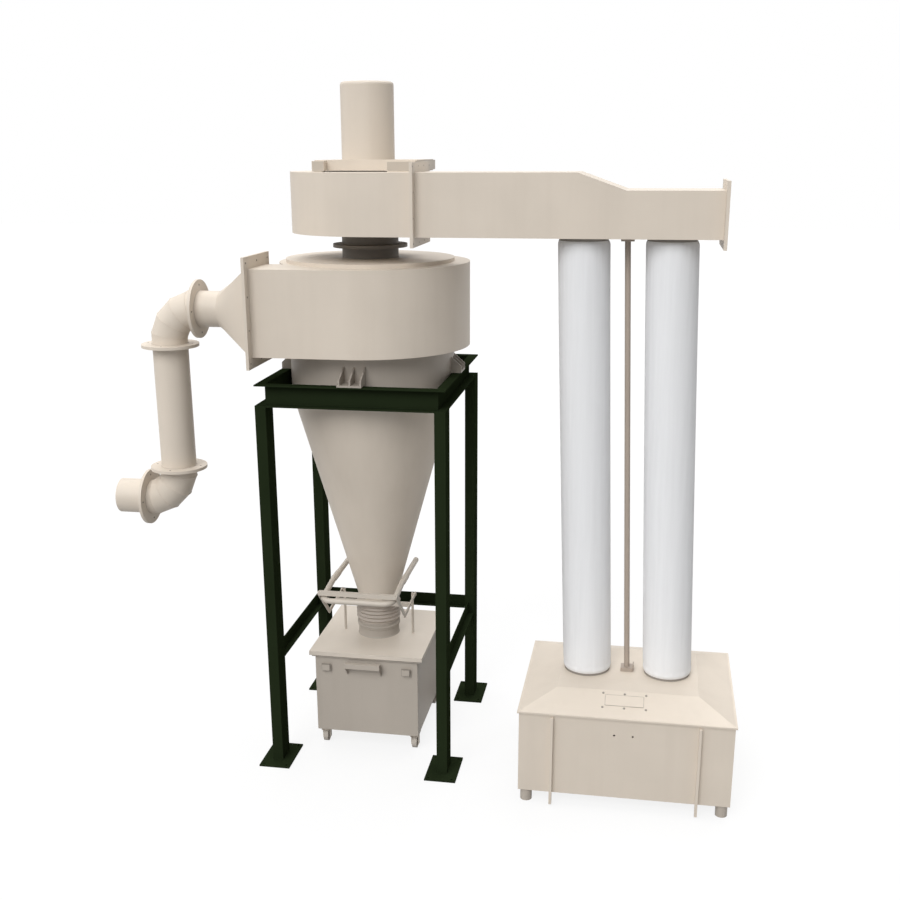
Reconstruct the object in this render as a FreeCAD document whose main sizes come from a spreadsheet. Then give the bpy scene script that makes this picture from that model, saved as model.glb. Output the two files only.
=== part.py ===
"""Cyclone dust collector: a conical separator in a channel-steel stand, with a fan on top,
two filter bags on a side duct, and a wheeled bin under a lid that a lever lifts.

Millimetres. X runs along the duct towards the bags, Y runs away from the front, Z is up.
The floor is z = 0 and the origin is the middle of the footprint. Every place is counted
from the cyclone's axis, which stands at axis_x, axis_y.
"""
import FreeCAD, Part
import math
import os
import re

import Sketcher

os.makedirs("parts", exist_ok=True)
doc = FreeCAD.newDocument("dust_collector")

# Driving dimensions: alias, value or formula, meaning.
SIZES = [
    ("axis_x", "=(stub_end_x - box_left - box_wide - box_rim) / 2", "axis from the footprint's middle"),
    ("axis_y", "=(box_front + runner_deep - stand_half_y + leg_y / 2 - foot_half_y) / 2",
     "axis from the footprint's middle"),
    ("sheet_gauge", "4", "housing sheet"),
    ("elbow_gauge", "2", "elbow sheet"),
    ("plate_gauge", "6", "end plates and roofs"),
    ("flange_gauge", "10", "pipe and duct flanges"),
    ("joint_play", "0.5", "gap of a pin in its hole, all round"),
    ("safe_gap", "6", "least gap between moving pieces"),
    # Stand
    ("barrel_r", "577", "outside radius of the cyclone's barrel"),
    ("ring_gap", "4", "barrel to the ring's inner web"),
    ("channel_flange", "65", "flange width of the ring's channel"),
    ("channel_depth", "150", "depth of the ring's channel"),
    ("channel_web", "7", "web thickness"),
    ("channel_lip", "10", "flange thickness"),
    ("stand_half_x", "=barrel_r + ring_gap + channel_flange", "stand's half width"),
    ("stand_gap_y", "133", "barrel to the front and back of the stand"),
    ("stand_half_y", "=barrel_r + stand_gap_y", "stand's half depth"),
    ("ring_lift", "160", "ring above the cone's top"),
    ("ring_top", "=cone_top + ring_lift", "top of the ring"),
    ("ring_bottom", "=ring_top - channel_depth", "underside of the ring"),
    ("leg_x", "75", "leg width across"),
    ("leg_y", "155", "leg width front to back"),
    ("leg_wall", "6", "leg wall"),
    ("foot_half_x", "112", "base plate half width"),
    ("foot_half_y", "175", "base plate half depth"),
    ("foot_gauge", "12", "base plate thickness"),
    ("anchor_r", "9", "anchor hole radius"),
    ("anchor_inset", "28", "anchor hole to the base plate's edge"),
    ("brace_top", "828", "top of the lower braces"),
    ("brace_rise", "95", "brace leg, upright"),
    ("brace_reach", "50", "brace leg, flat"),
    ("brace_gauge", "8", "brace thickness"),
    ("pad_half", "78", "support bracket half width"),
    ("pad_gauge", "12", "support bracket plate"),
    ("rib_gauge", "10", "support bracket rib"),
    ("rib_high", "118", "rib height at the barrel"),
    ("rib_low", "45", "rib height at its outer end"),
    # Cyclone
    ("cone_top", "2630", "barrel meets cone"),
    ("cone_bottom", "1100", "cone meets the spout"),
    ("spout_r", "150", "outside radius of the dust spout"),
    ("spout_drop", "55", "spout length below the cone"),
    ("scroll_lift", "190", "scroll's floor above the ring"),
    ("scroll_floor", "=ring_top + scroll_lift", "top of the inlet scroll's floor"),
    ("scroll_high", "565", "scroll's height"),
    ("scroll_roof", "=scroll_floor + scroll_high", "top of the inlet scroll's roof"),
    ("scroll_swell", "128", "scroll's first quarter beyond the barrel"),
    ("scroll_first_r", "=barrel_r + scroll_swell", "radius of the scroll's first quarter"),
    ("scroll_step", "30", "radius lost in each quarter"),
    ("inlet_wide", "370", "inlet duct width"),
    ("inlet_reach", "63", "inlet duct beyond the barrel"),
    ("inlet_end", "=barrel_r + inlet_reach", "inlet duct's end from the axis"),
    ("cap_rise", "25", "cap above the scroll's roof"),
    ("cap_r", "=barrel_r + 4", "cap radius"),
    ("neck_r", "194", "gas outlet pipe radius"),
    ("neck_drop", "620", "gas outlet pipe below the cap"),
    ("neck_flange_r", "256", "gas outlet flange radius"),
    ("neck_rise", "70", "gas outlet flange above the cap"),
    ("neck_flange_z", "=scroll_roof + cap_rise + neck_rise", "gas outlet flange's lower face"),
    ("neck_flange_gauge", "22", "gas outlet flange pair"),
    # Inlet pipe
    ("pipe_r", "120", "inlet pipe radius"),
    ("pipe_flange_r", "194", "inlet pipe flange radius"),
    ("duct_rim_y", "70", "inlet flange beyond the duct, sideways"),
    ("duct_rim_z", "80", "inlet flange beyond the duct, up and down"),
    ("cone_piece_long", "240", "square-to-round piece length"),
    ("collar_long", "160", "round collar length"),
    ("upper_flange_x", "=inlet_end + 2 * flange_gauge + cone_piece_long + collar_long",
     "upper elbow's flange from the axis"),
    ("upper_bend", "224", "upper elbow radius"),
    ("pipe_x", "=upper_flange_x + upper_bend", "down pipe from the axis"),
    ("joint_drop", "23.5", "flange joint below the upper elbow"),
    ("upper_joint_z", "=(scroll_floor + scroll_roof) / 2 - upper_bend - joint_drop",
     "down pipe's upper flange joint"),
    ("lower_bend", "230", "lower elbow radius"),
    ("lower_joint_z", "=pipe_low_z + lower_bend", "down pipe's lower flange joint"),
    ("lower_flange_x", "=pipe_x + lower_bend", "lower elbow's flange joint"),
    ("stub_long", "213", "open stub length"),
    ("stub_end_x", "=lower_flange_x + stub_long", "open end of the inlet stub"),
    ("pipe_low_z", "1930", "inlet stub's axis height"),
    # Fan
    ("neck_top", "83", "gas outlet pipe above its flange"),
    ("fan_bottom", "=neck_flange_z + neck_flange_gauge + neck_top", "fan casing's underside"),
    ("fan_high", "395", "fan casing height"),
    ("fan_top", "=fan_bottom + fan_high", "fan casing's top"),
    ("fan_left", "515", "fan casing's reach to the left"),
    ("fan_step", "85", "radius lost in each quarter"),
    ("duct_wide", "460", "outlet duct width"),
    ("fan_flange_x", "425", "fan outlet flange joint"),
    ("fan_rim", "62", "fan outlet flange beyond the duct"),
    ("motor_r", "178", "motor radius"),
    ("motor_plate_gauge", "5", "motor plate thickness"),
    ("motor_bottom", "=rail_top + motor_plate_gauge", "motor's foot"),
    ("motor_high", "494", "motor height"),
    ("motor_top", "=motor_bottom + motor_high", "motor's top"),
    ("motor_edge", "22", "motor's top edge radius"),
    ("rail_lift", "7", "motor rails above the fan, on their feet"),
    ("rail_high", "62", "motor rails height"),
    ("rail_top", "=fan_top + rail_lift + rail_high", "motor rails' top"),
    ("rail_left_x", "281", "left rail's outer side"),
    ("rail_left_wide", "81", "left rail's width"),
    ("rail_right_x", "402", "right rail's outer side"),
    ("rail_right_wide", "200", "right rail's width"),
    ("rail_front", "400", "rails in front of the axis"),
    ("rail_back", "300", "rails behind the axis"),
    ("rail_foot", "90", "rail foot length"),
    ("rail_foot_inset", "15", "rail foot from the rail's sides"),
    ("cross_inset", "70", "cross beams back from the rails' ends"),
    ("cross_wide", "60", "cross beam width"),
    # Outlet duct
    ("slope_before", "36", "slope starts before the first bag's middle"),
    ("duct_slope_start", "=bag_first_x - slope_before", "duct's top begins to fall"),
    ("slope_long", "299", "slope length"),
    ("duct_slope_end", "=duct_slope_start + slope_long", "duct's top stops falling"),
    ("duct_step", "106", "fall of the duct's top"),
    ("duct_low_top", "=fan_top - duct_step", "duct's lower top"),
    ("duct_tail", "311", "duct beyond the second bag's middle"),
    ("duct_end", "=bag_first_x + bag_pitch + duct_tail", "duct's end"),
    ("end_rim", "58", "end flange beyond the duct"),
    # Filter bags
    ("bag_r", "168", "bag radius"),
    ("bag_cuff_r", "157", "cuff radius"),
    ("bag_cuff", "28", "upper cuff height"),
    ("bag_low_cuff", "22", "lower cuff height"),
    ("bag_inset", "181", "first bag from the roof's flat top's edge"),
    ("bag_first_x", "=box_left + roof_inset + bag_inset - bag_shift", "first bag's upper end from the axis"),
    ("bag_pitch", "555", "bag to bag"),
    ("bag_shift", "112", "lower ends stand this much further out"),
    ("bag_shoulder", "18", "bag's rounded shoulder"),
    ("tie_r", "19", "tie bar radius"),
    ("tie_head", "84", "tie bar's end block, across"),
    ("tie_head_rise", "26", "tie bar's end block height"),
    # Dust box
    ("box_left", "1182", "dust box left side from the axis"),
    ("box_wide", "1418", "dust box width"),
    ("box_fore", "590", "dust box in front of the duct's middle"),
    ("box_front", "=fan_left + fan_step - duct_wide / 2 + box_fore", "dust box front from the axis"),
    ("box_deep", "1176", "dust box depth"),
    ("box_foot", "90", "dust box foot height"),
    ("box_foot_r", "40", "dust box foot radius"),
    ("box_foot_inset", "52", "dust box foot from the corner"),
    ("box_top", "680", "dust box eaves"),
    ("box_rim", "12", "dust box roof's rim"),
    ("roof_rise", "88", "roof's rise"),
    ("roof_top", "=box_top + roof_rise", "dust box roof's flat top"),
    ("roof_inset", "235", "roof's flat top from the eaves"),
    ("runner_gauge", "18", "front runner thickness"),
    ("runner_deep", "34", "front runner depth"),
    ("runner_foot", "14", "front runner above the floor"),
    ("runner_inset", "214", "front runner from the box's side"),
    ("cover_inset", "565", "cover from the box's side"),
    ("cover_left", "=box_left + cover_inset", "cover on the roof's front slope"),
    ("cover_wide", "255", "cover width"),
    ("cover_start", "104", "cover up the slope from the eaves, level"),
    ("cover_reach", "90", "cover's depth, level"),
    ("cover_gauge", "3", "cover thickness"),
    ("drain_r", "7", "radius of the two holes in the box's front"),
    ("drain_inset", "637", "left hole from the box's side"),
    ("drain_x", "=box_left + drain_inset", "left hole from the axis"),
    ("drain_pitch", "122", "hole to hole"),
    ("drain_drop", "127", "holes below the eaves"),
    ("drain_z", "=box_top - drain_drop", "hole height"),
    # Bin
    ("bin_half_x", "381", "bin half width"),
    ("bin_half_y", "430", "bin half depth"),
    ("bin_bottom", "138", "bin's underside"),
    ("bin_rim_z", "740", "bin's rim"),
    ("bin_rim", "20", "bin's rim turned out"),
    ("bin_wall", "4", "bin wall"),
    ("handle_side", "38", "handle bar's side"),
    ("handle_left", "144", "handle's left end"),
    ("handle_right", "114", "handle's right end"),
    ("handle_reach", "52", "handle bar in front of the bin"),
    ("handle_below", "45", "handle bar below the rim"),
    ("handle_z", "=bin_rim_z - handle_below", "handle bar height"),
    ("handle_plate", "8", "handle end plate thickness"),
    ("handle_drop", "95", "handle end plates' lowest point below the bar's middle"),
    ("handle_strap", "45", "handle end plates' height at the bin"),
    ("catch_x", "298", "catches from the middle"),
    ("catch_half", "28", "catch half width"),
    ("catch_deep", "26", "catch depth"),
    ("catch_below", "110", "catches' underside below the rim"),
    ("catch_low", "=bin_rim_z - catch_below", "catches' underside"),
    ("catch_rise", "45", "catch height"),
    ("castor_inset_x", "41", "castor from the bin's side"),
    ("castor_x", "=bin_half_x - castor_inset_x", "castor from the bin's middle"),
    ("castor_inset_y", "62", "castor from the bin's end"),
    ("castor_y", "=bin_half_y - castor_inset_y", "castor from the bin's middle"),
    ("wheel_r", "50", "castor wheel radius"),
    ("wheel_wide", "34", "castor wheel width"),
    ("castor_trail", "34", "wheel axle behind the swivel"),
    ("axle_r", "8", "castor axle radius"),
    ("fork_gauge", "5", "castor fork thickness"),
    ("fork_half", "22", "castor fork half width"),
    ("castor_plate_half", "42", "castor plate half width"),
    ("swivel_r", "20", "castor swivel radius"),
    # Lid and lever
    ("lid_over_x", "39", "lid beyond the bin, sideways"),
    ("lid_half_x", "=bin_half_x + lid_over_x", "lid half width"),
    ("lid_over_y", "26", "lid beyond the bin, to the ends"),
    ("lid_half_y", "=bin_half_y + lid_over_y", "lid half depth"),
    ("lid_under", "=bin_rim_z + safe_gap", "lid's underside"),
    ("lid_high", "31", "lid height"),
    ("lid_top", "=lid_under + lid_high", "lid's top"),
    ("spigot_rise", "123", "spigot above the lid"),
    ("spigot_top", "=lid_top + spigot_rise", "lid spigot's top"),
    ("bellows_lap", "15", "bellows over its spigots"),
    ("bellows_low", "=spigot_top - bellows_lap", "bellows' lower edge"),
    ("bellows_high", "=cone_bottom - spout_drop + bellows_lap", "bellows' upper edge"),
    ("bellows_wave", "12", "depth of a bellows fold"),
    ("bellows_folds", "5", "number of bellows folds"),
    ("bellows_skin", "3", "bellows thickness"),
    ("rod_x", "262", "lift rod from the axis"),
    ("rod_r", "9", "lift rod radius"),
    ("rod_top", "1092", "lift rod's pin height"),
    ("pivot_y", "182", "lever's pivot, in front of the axis"),
    ("pivot_z", "1078", "lever's pivot height"),
    ("pivot_saddle", "60", "pivot bar's saddle half width"),
    ("pin_r", "7", "lever pin radius"),
    ("pin_head_r", "13", "lever pin head radius"),
    ("pin_head", "4", "lever pin head thickness"),
    ("slot_play", "1", "rod pin in the link's slot, all round"),
    ("slot_back", "6", "slot short of the rod's axis"),
    ("slot_out", "14", "slot beyond the rod's axis"),
    ("link_x", "=rod_x + rod_r + safe_gap", "side links' inner faces"),
    ("bar_y", "622", "front bar in front of the axis"),
    ("bar_z", "1305", "front bar height"),
    ("bar_side", "30", "square bars' side"),
    ("bar_r", "=bar_side / 2", "square bars' half side"),
    ("apex_y", "360", "side link's knee in front of the axis"),
    ("apex_z", "1062", "side link's knee height"),
    ("link_wide", "30", "side link width"),
    ("link_gauge", "8", "side link thickness"),
    ("tube_r", "20", "lever tube radius"),
    ("tube_x", "254", "lever tube's arms from the axis"),
    ("tube_front_y", "645", "lever tube's front"),
    ("tube_front_z", "1258", "lever tube's front height"),
    ("tube_knee_y", "330", "lever tube's knee"),
    ("tube_back_z", "1298", "lever tube's arm height"),
    ("tube_back_y", "185", "lever tube's free ends behind the axis"),
    ("tube_bend", "70", "lever tube's front bend radius"),
    ("knee_bend", "120", "lever tube's knee bend radius"),
    ("boss_r", "12", "weld boss between lever tube and link"),
    ("boss_y", "580", "weld boss in front of the axis"),
    ("boss_z", "1266", "weld boss height"),
    ("sleeve_r", "23", "lever sleeve radius"),
    ("sleeve_start", "300", "sleeve's front end, in front of the axis"),
    ("sleeve_end", "180", "sleeve's back end, in front of the axis"),
]

sheet = doc.addObject("Spreadsheet::Sheet", "Sizes")
for row, (alias, value, meaning) in enumerate(SIZES, start=1):
    sheet.set("A%d" % row, meaning)
    sheet.setAlias("B%d" % row, alias)
for row, (alias, value, meaning) in enumerate(SIZES, start=1):
    sheet.set("B%d" % row, value)
doc.recompute()

NAMES = {alias for alias, value, meaning in SIZES}
NODES = {}
AXES = {"x": FreeCAD.Vector(1, 0, 0), "y": FreeCAD.Vector(0, 1, 0), "z": FreeCAD.Vector(0, 0, 1)}
ALONG = {
    "x": FreeCAD.Rotation(AXES["y"], 90),
    "y": FreeCAD.Rotation(AXES["x"], -90),
    "z": FreeCAD.Rotation(),
}


def bound(formula):
    """A formula over the sheet's aliases, as the document's expressions write it."""
    return re.sub(r"[a-z_]+[a-z_0-9]*",
                  lambda word: "Sizes." + word.group() if word.group() in NAMES else word.group(), formula)


def number(formula):
    """The value of a formula over the sheet's aliases."""
    return float(sheet.evalExpression(bound(formula)))


def point(x, y, z):
    """A point counted from the cyclone's axis, in the part's frame."""
    return FreeCAD.Vector(number("axis_x + " + x), number("axis_y + " + y), number(z))


def place(item, x="0", y="0", z="0"):
    """Stand an object at a point counted from the cyclone's axis on the floor."""
    item.setExpression("Placement.Base.x", bound("axis_x + " + x))
    item.setExpression("Placement.Base.y", bound("axis_y + " + y))
    item.setExpression("Placement.Base.z", bound(z))
    return item


def node(name, item):
    """Name an object as one of the part's pieces."""
    item.Label = name
    NODES[name] = item
    return item


def block(name, x0, x1, y0, y1, z0, z1):
    """A box between two corners."""
    item = doc.addObject("Part::Box", name)
    item.setExpression("Length", bound("(%s) - (%s)" % (x1, x0)))
    item.setExpression("Width", bound("(%s) - (%s)" % (y1, y0)))
    item.setExpression("Height", bound("(%s) - (%s)" % (z1, z0)))
    return place(item, "(%s)" % x0, "(%s)" % y0, z0)


def rod(name, radius, length, x, y, z, along="z"):
    """A cylinder from a point, along an axis."""
    item = doc.addObject("Part::Cylinder", name)
    item.setExpression("Radius", bound(radius))
    item.setExpression("Height", bound(length))
    item.Placement = FreeCAD.Placement(FreeCAD.Vector(), ALONG[along])
    return place(item, "(%s)" % x, "(%s)" % y, z)


def cut(name, base, tools):
    """One object less others."""
    item = doc.addObject("Part::Cut", name)
    item.Base = base
    item.Tool = tools[0] if len(tools) == 1 else join(name + "_tools", tools)
    return item


def join(name, pieces):
    """Several objects as one."""
    item = doc.addObject("Part::MultiFuse", name)
    item.Shapes = pieces
    return item


def tube(name, radius, wall, length, x, y, z, along="z"):
    """A pipe from a point, along an axis."""
    outer = rod(name + "_outside", radius, length, x, y, z, along)
    inner = rod(name + "_inside", "%s - (%s)" % (radius, wall), length, x, y, z, along)
    return cut(name, outer, [inner])


def plane_of(body, role):
    """One of a body's own origin planes."""
    return next(plane for plane in body.Origin.OriginFeatures if plane.Role == role)


def outline(body, name, role, corners, lift="0"):
    """A closed sketch through corners. A corner is two formulas, and a third and fourth are
    the centre of the arc that leads from it to the next corner."""
    sketch = body.newObject("Sketcher::SketchObject", name)
    sketch.AttachmentSupport = [(plane_of(body, role), "")]
    sketch.MapMode = "FlatFace"
    sketch.setExpression(".AttachmentOffset.Base.z", bound(lift))
    spots = [FreeCAD.Vector(number(corner[0]), number(corner[1]), 0) for corner in corners]
    count = len(corners)
    for index, corner in enumerate(corners):
        here, there = spots[index], spots[(index + 1) % count]
        if len(corner) == 2:
            sketch.addGeometry(Part.LineSegment(here, there))
            continue
        centre = FreeCAD.Vector(number(corner[2]), number(corner[3]), 0)
        way = 1 if corner[4] == "left" else -1
        first, last = ((here, there), (there, here))[way < 0]
        turns = [math.atan2(spot.y - centre.y, spot.x - centre.x) for spot in (first, last)]
        circle = Part.Circle(centre, AXES["z"], (here - centre).Length)
        sketch.addGeometry(Part.ArcOfCircle(circle, turns[0], turns[1]))
    for index, corner in enumerate(corners):
        start = 2 if len(corner) > 2 and corner[4] != "left" else 1
        before = corners[index - 1]
        end = 1 if len(before) > 2 and before[4] != "left" else 2
        sketch.addConstraint(Sketcher.Constraint("Coincident", (index - 1) % count, end, index, start))
        for way, formula, value in (("X", corner[0], spots[index].x), ("Y", corner[1], spots[index].y)):
            tie = sketch.addConstraint(Sketcher.Constraint("Distance" + way, -1, 1, index, start, value))
            sketch.setExpression("Constraints[%d]" % tie, bound(formula))
    return sketch


def solid_of(name):
    """A new body that stands at the cyclone's axis."""
    return place(doc.addObject("PartDesign::Body", name))


def padded(body, sketch, length, name, back=False):
    """Pad a sketch by a formula's length."""
    pad = body.newObject("PartDesign::Pad", name)
    pad.Profile = sketch
    pad.setExpression("Length", bound(length))
    pad.Reversed = back
    return pad


def pocketed(body, sketch, length, name, back=False):
    """Cut a sketch by a formula's length."""
    pocket = body.newObject("PartDesign::Pocket", name)
    pocket.Profile = sketch
    pocket.setExpression("Length", bound(length))
    pocket.Reversed = back
    return pocket


def revolved(name, corners):
    """A body turned about the cyclone's axis, from an outline of radius and height."""
    body = solid_of(name)
    sketch = outline(body, name + "_outline", "XZ_Plane", corners)
    turn = body.newObject("PartDesign::Revolution", name + "_turn")
    turn.Profile = sketch
    turn.ReferenceAxis = (sketch, ["V_Axis"])
    turn.Angle = 360
    return body


def shaped(name, shape):
    """An object whose shape is worked out from the sheet's values."""
    item = doc.addObject("Part::Feature", name)
    item.Shape = shape
    return item


def signs():
    """The four corners, left front first."""
    return [(side, end) for end in ("-", "") for side in ("-", "")]


def names_of(side, end):
    """The words for a corner."""
    return "%s_%s" % ("left" if side else "right", "front" if end else "back")


def stand():
    """Legs of box section, base plates with anchor holes, a mitred channel ring and angle braces."""
    legs, plates = [], []
    for side, end in signs():
        where = names_of(side, end)
        x0, x1 = side + "stand_half_x", "%s(stand_half_x - leg_x)" % side
        y0, y1 = end + "stand_half_y", "%s(stand_half_y - leg_y)" % end
        x0, x1 = (x0, x1) if side else (x1, x0)
        y0, y1 = (y0, y1) if end else (y1, y0)
        outer = block("leg_outside_" + where, x0, x1, y0, y1, "foot_gauge", "ring_bottom")
        inner = block("leg_inside_" + where, x0 + " + leg_wall", x1 + " - leg_wall", y0 + " + leg_wall",
                      y1 + " - leg_wall", "foot_gauge", "ring_bottom")
        legs.append(cut("leg_" + where, outer, [inner]))
        middle_x = "%s(stand_half_x - leg_x / 2)" % side
        middle_y = "%s(stand_half_y - leg_y / 2)" % end
        plate = block("plate_" + where, middle_x + " - foot_half_x", middle_x + " + foot_half_x",
                      middle_y + " - foot_half_y", middle_y + " + foot_half_y", "0", "foot_gauge")
        holes = [rod("anchor_%s_%d" % (where, index), "anchor_r", "foot_gauge",
                     "%s %s (foot_half_x - anchor_inset)" % (middle_x, across or "+"),
                     "%s %s (foot_half_y - anchor_inset)" % (middle_y, along or "+"), "0")
                 for index, (across, along) in enumerate(signs())]
        plates.append(cut("drilled_plate_" + where, plate, holes))
    node("legs", join("legs", legs))
    node("base_plates", join("base_plates", plates))

    inner_x, inner_y = "(stand_half_x - channel_flange)", "(stand_half_y - channel_flange)"
    rim = block("ring_outside", "-stand_half_x", "stand_half_x", "-stand_half_y", "stand_half_y",
                "ring_bottom", "ring_top")
    hole = block("ring_inside", "-" + inner_x, inner_x, "-" + inner_y, inner_y, "ring_bottom", "ring_top")
    groove = block("ring_groove", "-stand_half_x", "stand_half_x", "-stand_half_y", "stand_half_y",
                   "ring_bottom + channel_lip", "ring_top - channel_lip")
    web = block("ring_web", "-%s - channel_web" % inner_x, inner_x + " + channel_web",
                "-%s - channel_web" % inner_y, inner_y + " + channel_web",
                "ring_bottom + channel_lip", "ring_top - channel_lip")
    node("ring_beam", cut("ring_beam", rim, [hole, cut("ring_channel", groove, [web])]))

    between_y = "(stand_half_y - leg_y)"
    between_x = "(stand_half_x - leg_x)"
    left_x = "-stand_half_x"
    right_x = "stand_half_x - brace_reach - channel_lip / 2"
    braces = []
    for where, face in (("left", left_x), ("right", right_x)):
        upright = block("brace_upright_" + where, face, face + " + brace_gauge", "-" + between_y, between_y,
                        "brace_top - brace_rise", "brace_top")
        flat = block("brace_flat_" + where, face, face + " + brace_reach", "-" + between_y, between_y,
                     "brace_top - brace_rise", "brace_top - brace_rise + brace_gauge")
        braces += [upright, flat]
    upright = block("brace_upright_back", "-" + between_x, between_x, "stand_half_y - brace_gauge",
                    "stand_half_y", "brace_top - brace_rise", "brace_top")
    flat = block("brace_flat_back", "-" + between_x, between_x, "stand_half_y - brace_reach", "stand_half_y",
                 "brace_top - brace_rise", "brace_top - brace_rise + brace_gauge")
    node("braces", join("braces", braces + [upright, flat]))


def support_brackets():
    """Four ribbed brackets that carry the barrel on the ring."""
    pieces = []
    for where, quarter in (("front", -90), ("right", 0), ("back", 90), ("left", 180)):
        reach = "stand_half_y" if where in ("front", "back") else "stand_half_x"
        body = doc.addObject("PartDesign::Body", "bracket_" + where)
        body.Placement = FreeCAD.Placement(FreeCAD.Vector(), FreeCAD.Rotation(AXES["z"], quarter))
        place(body)
        inner = "barrel_r - pad_gauge"
        base = outline(body, "bracket_base_" + where, "XY_Plane",
                       [(inner, "-pad_half"), (reach, "-pad_half"),
                        (reach, "pad_half"), (inner, "pad_half")],
                       "ring_top")
        padded(body, base, "pad_gauge", "bracket_plate_" + where)
        for index, across in enumerate(("-pad_half", "-rib_gauge / 2", "pad_half - rib_gauge")):
            rib = outline(body, "bracket_rib_%s_%d" % (where, index), "XZ_Plane",
                          [(inner, "ring_top"), (reach, "ring_top"),
                           (reach, "ring_top + rib_low"), (inner, "ring_top + rib_high")],
                          "(%s)" % across)
            padded(body, rib, "rib_gauge", "bracket_fin_%s_%d" % (where, index), back=True)
        pieces.append(body)
    node("support_brackets", cut("support_brackets", join("brackets", pieces),
                                 [rod("barrel_room", "barrel_r", "scroll_floor - ring_bottom", "0", "0",
                                      "ring_bottom")]))


def cyclone():
    """Barrel, cone and spout turned about the axis, and the inlet scroll with its floor, roof and cap."""
    node("barrel", revolved("barrel", [
        ("barrel_r - sheet_gauge", "cone_top"), ("barrel_r", "cone_top"),
        ("barrel_r", "scroll_floor - plate_gauge"),
        ("barrel_r - sheet_gauge", "scroll_floor - plate_gauge")]))
    node("cone", revolved("cone", [
        ("spout_r - sheet_gauge", "cone_bottom"), ("spout_r", "cone_bottom"),
        ("barrel_r", "cone_top"), ("barrel_r - sheet_gauge", "cone_top")]))
    node("dust_spout", tube("dust_spout", "spout_r", "sheet_gauge", "spout_drop", "0", "0",
                            "cone_bottom - spout_drop"))

    half = "scroll_step / 2"
    front = "-(%s + scroll_first_r)" % half
    right = "(scroll_first_r - %s)" % half
    back = "(scroll_first_r - 1.5 * scroll_step)"
    left = "-(scroll_first_r - 2.5 * scroll_step)"
    duct_back = "(%s + inlet_wide)" % front

    def spiral(inset):
        last_r = "(scroll_first_r - 2 * scroll_step - %s)" % inset
        return [
            ("-inlet_end", "%s + %s" % (front, inset)),
            ("-" + half, "%s + %s" % (front, inset), "-" + half, "-" + half, "left"),
            ("%s - %s" % (right, inset), "-" + half, half, "-" + half, "left"),
            (half, "%s - %s" % (back, inset), half, half, "left"),
            ("%s + %s" % (left, inset), half, half, half, "left"),
            ("%s - sqrt(%s * %s - (%s - %s - %s) * (%s - %s - %s))" % (
                half, last_r, last_r, duct_back, inset, half, duct_back, inset, half),
             "%s - %s" % (duct_back, inset)),
            ("-inlet_end", "%s - %s" % (duct_back, inset)),
        ]

    body = solid_of("scroll_wall")
    padded(body, outline(body, "scroll_outline", "XY_Plane", spiral("0"), "scroll_floor"),
           "scroll_roof - plate_gauge - scroll_floor", "scroll_pad")
    pocketed(body, outline(body, "scroll_hollow", "XY_Plane", spiral("sheet_gauge"), "scroll_floor"),
             "scroll_roof - plate_gauge - scroll_floor", "scroll_pocket", back=True)
    node("scroll_wall", body)
    plates = []
    for name in ("scroll_floor", "scroll_roof"):
        low = name + " - plate_gauge"
        body = solid_of(name + "_sheet")
        padded(body, outline(body, name + "_outline", "XY_Plane", spiral("0"), low), "plate_gauge",
               name + "_pad")
        hole = rod(name + "_hole", "barrel_r - sheet_gauge", "plate_gauge", "0", "0", low)
        plates.append(cut(name + "_plate", body, [hole]))
    node("scroll_plates", join("scroll_plates", plates))
    cap_low, cap_high = "scroll_roof", "scroll_roof + cap_rise"
    node("cap", revolved("cap", [
        ("neck_r", cap_high + " - plate_gauge"), ("cap_r - sheet_gauge", cap_high + " - plate_gauge"),
        ("cap_r - sheet_gauge", cap_low), ("cap_r", cap_low), ("cap_r", cap_high), ("neck_r", cap_high)]))
    flange_high = "neck_flange_z + neck_flange_gauge"
    node("gas_outlet_pipe", revolved("gas_outlet_pipe", [
        ("neck_r - sheet_gauge", "scroll_roof - neck_drop"), ("neck_r", "scroll_roof - neck_drop"),
        ("neck_r", "neck_flange_z"), ("neck_flange_r", "neck_flange_z"), ("neck_flange_r", flange_high),
        ("neck_r", flange_high), ("neck_r", "fan_bottom"), ("neck_r - sheet_gauge", "fan_bottom")]))


def flange_ring(name, x, y, z, along):
    """A pair of bolted pipe flanges round a pipe, from its first face."""
    outer = rod(name + "_disc", "pipe_flange_r", "2 * flange_gauge", x, y, z, along)
    inner = rod(name + "_hole", "pipe_r", "2 * flange_gauge", x, y, z, along)
    return cut(name, outer, [inner])


def gored_elbow(name, start, radius, first, turn):
    """A quarter bend of straight gores, hollow. It leaves start along the vector first and turns
    towards the vector turn."""
    gores = 4
    centre = start + turn * radius
    spots = [start]
    step = math.radians(90 / gores)
    reach = radius / math.cos(step / 2)
    for index in range(gores):
        angle = step * (index + 0.5)
        spots.append(centre - turn * (reach * math.cos(angle)) + first * (reach * math.sin(angle)))
    spots.append(centre + first * radius)
    path = Part.makePolygon(spots)

    def sweep(pipe_radius):
        maker = Part.BRepOffsetAPI.MakePipeShell(path)
        maker.setTransitionMode(1)
        maker.add(Part.Wire(Part.makeCircle(pipe_radius, start, first)))
        maker.build()
        maker.makeSolid()
        return maker.shape()

    return shaped(name, sweep(number("pipe_r")).cut(sweep(number("pipe_r - elbow_gauge"))))


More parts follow.
